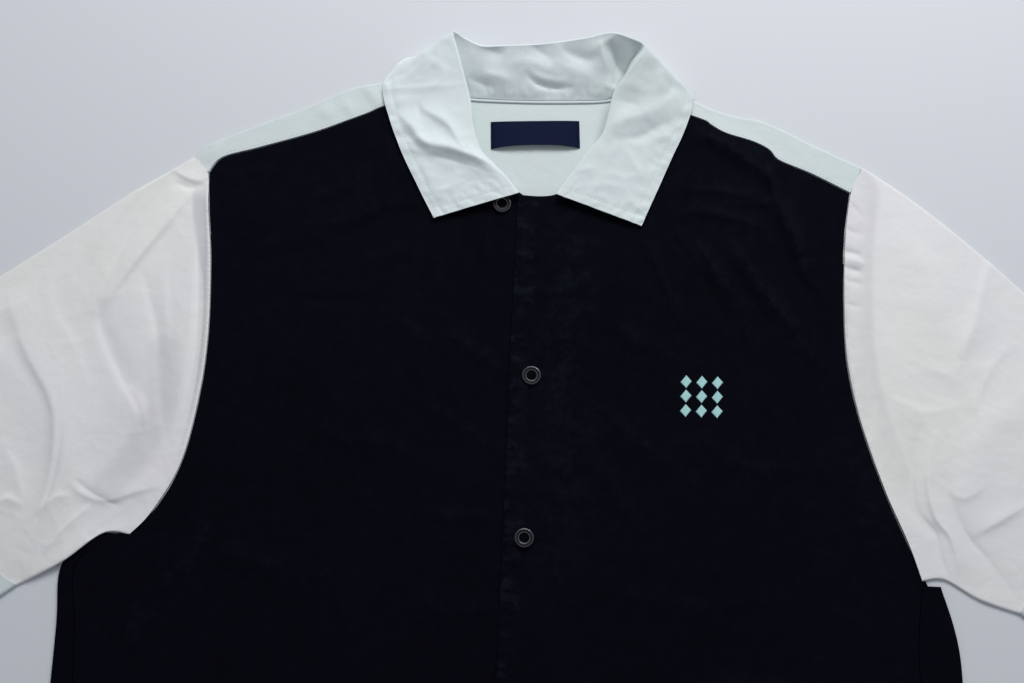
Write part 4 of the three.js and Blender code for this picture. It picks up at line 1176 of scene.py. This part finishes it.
def resin(name, tone, roughness, specular, coat):
    material = bpy.data.materials.new(name)
    material.use_nodes = True
    shader = material.node_tree.nodes["Principled BSDF"]
    shader.inputs["Base Color"].default_value = tone
    shader.inputs["Roughness"].default_value = roughness
    shader.inputs["Specular IOR Level"].default_value = specular
    shader.inputs["Coat Weight"].default_value = coat
    shader.inputs["Coat Roughness"].default_value = 0.1
    return material


def turned_button(name, place):
    """One button, with its lower face's centre at the place."""
    bpy.ops.object.select_all(action="DESELECT")
    bpy.ops.mesh.primitive_cylinder_add(vertices=48, radius=BUTTON_RADIUS * MM, depth=BUTTON_THICKNESS * MM)
    button = bpy.context.active_object
    button.name = button.data.name = name
    for part in (resin_highlight_lip, resin_rim, resin_well):
        button.data.materials.append(part)
    bpy.ops.object.mode_set(mode="EDIT")
    bpy.ops.mesh.select_all(action="DESELECT")
    turning = bmesh.from_edit_mesh(button.data)
    for face in turning.faces:
        face.select_set(face.normal.z > 0.9)
    bmesh.update_edit_mesh(button.data)
    bpy.ops.mesh.inset(thickness=LIP_WIDTH * MM)
    bpy.ops.transform.translate(value=(0, 0, LIP_HEIGHT * MM))
    for part, width, depth in RINGS:
        button.active_material_index = part
        bpy.ops.object.material_slot_assign()
        if width:
            bpy.ops.mesh.inset(thickness=width * MM, depth=depth * MM)
    bpy.ops.object.mode_set(mode="OBJECT")
    rounding = button.modifiers.new("rounding", "BEVEL")
    rounding.width = 0.4 * MM
    rounding.segments = 3
    rounding.limit_method = "ANGLE"
    rounding.angle_limit = math.radians(18)
    finish_mesh(button)
    for hole_x in (-HOLE_OFFSET, HOLE_OFFSET):
        for hole_y in (-HOLE_OFFSET, HOLE_OFFSET):
            bpy.ops.mesh.primitive_cylinder_add(vertices=12, radius=HOLE_RADIUS * MM, depth=6 * MM)
            drill = bpy.context.active_object
            bpy.ops.transform.translate(value=(hole_x * MM, hole_y * MM, 0))
            bpy.ops.object.transform_apply(location=True, rotation=True, scale=True)
            cut = button.modifiers.new("hole", "BOOLEAN")
            cut.object = drill
            finish_mesh(button, sharp_from=40)
            bpy.data.objects.remove(drill)
    bpy.ops.transform.translate(value=(place[0] * MM, place[1] * MM, (place[2] + BUTTON_THICKNESS / 2) * MM))
    bpy.ops.object.transform_apply(location=True, rotation=True, scale=True)
    return button


# The lips are painted paler, as highlight rings where the gloss would catch the light.
resin_highlight_lip = resin("resin_highlight_lip", (0.060, 0.062, 0.070, 1), 0.25, 0.5, 0.5)
resin_rim = resin("resin_rim", (0.010, 0.010, 0.013, 1), 0.4, 0.12, 0.0)
resin_well = resin("resin_well", (0.002, 0.002, 0.003, 1), 0.7, 0.03, 0.0)
button_spans = []
for number, place in enumerate(BUTTONS, start=1):
    button = turned_button(f"button_{number}_resin", place)
    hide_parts(f"button_{number}")
    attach(button, "root")
    x, y, bottom = place
    well = bottom + BUTTON_THICKNESS - 0.1
    for hole_x in (-HOLE_OFFSET, HOLE_OFFSET):
        for strand in (-0.25, 0, 0.25):
            start = [(x + hole_x + strand, y - HOLE_OFFSET - 0.3, well)]
            end = [(x + hole_x + strand, y + HOLE_OFFSET + 0.3, well)]
            button_spans.append((np.array(start, float), np.array(end, float)))
add_thread("button_thread", button_spans, navy_thread, radius=0.18)

# ---- Table, light and camera ----
# The shirt lies on a pale table under one wide soft light beyond the collar, with a weak light all round.
# The camera looks almost straight down at it, from the hem's side.

CAMERA_TILT = 13
CAMERA_TURN = 2.7

bpy.ops.mesh.primitive_plane_add(size=8, location=(0, 0, 0))
table = bpy.context.active_object
table.name = "table"
table_paint = bpy.data.materials.new("table_paint")
table_paint.use_nodes = True
paint = table_paint.node_tree.nodes["Principled BSDF"]
paint.inputs["Base Color"].default_value = (0.66, 0.68, 0.72, 1)
paint.inputs["Roughness"].default_value = 0.6
paint.inputs["Specular IOR Level"].default_value = 0.2
table.data.materials.append(table_paint)

window = bpy.data.objects.new("window", bpy.data.lights.new("window", "AREA"))
window.data.shape = "RECTANGLE"
window.data.size, window.data.size_y = 1.2, 0.6
window.data.energy = 17
window.data.color = (1.0, 0.995, 0.99)
window.location = (0.18, 1.05, 0.98)
window.rotation_euler = (Vector((0.0, 0.1, 0)) - window.location).to_track_quat("-Z", "Y").to_euler()
bpy.context.scene.collection.objects.link(window)

room = bpy.data.worlds.new("room")
room.use_nodes = True
room.node_tree.nodes["Background"].inputs["Color"].default_value = (0.88, 0.92, 1.0, 1)
room.node_tree.nodes["Background"].inputs["Strength"].default_value = 0.33
bpy.context.scene.world = room
bpy.context.scene.view_settings.view_transform = "Standard"

camera = bpy.data.objects.new("camera", bpy.data.cameras.new("camera"))
camera.data.lens = 50
camera.location = (0.00394, -0.19556, 0.95301)
camera.rotation_euler = (math.radians(CAMERA_TILT), 0, math.radians(CAMERA_TURN))
bpy.context.scene.collection.objects.link(camera)
bpy.context.scene.camera = camera
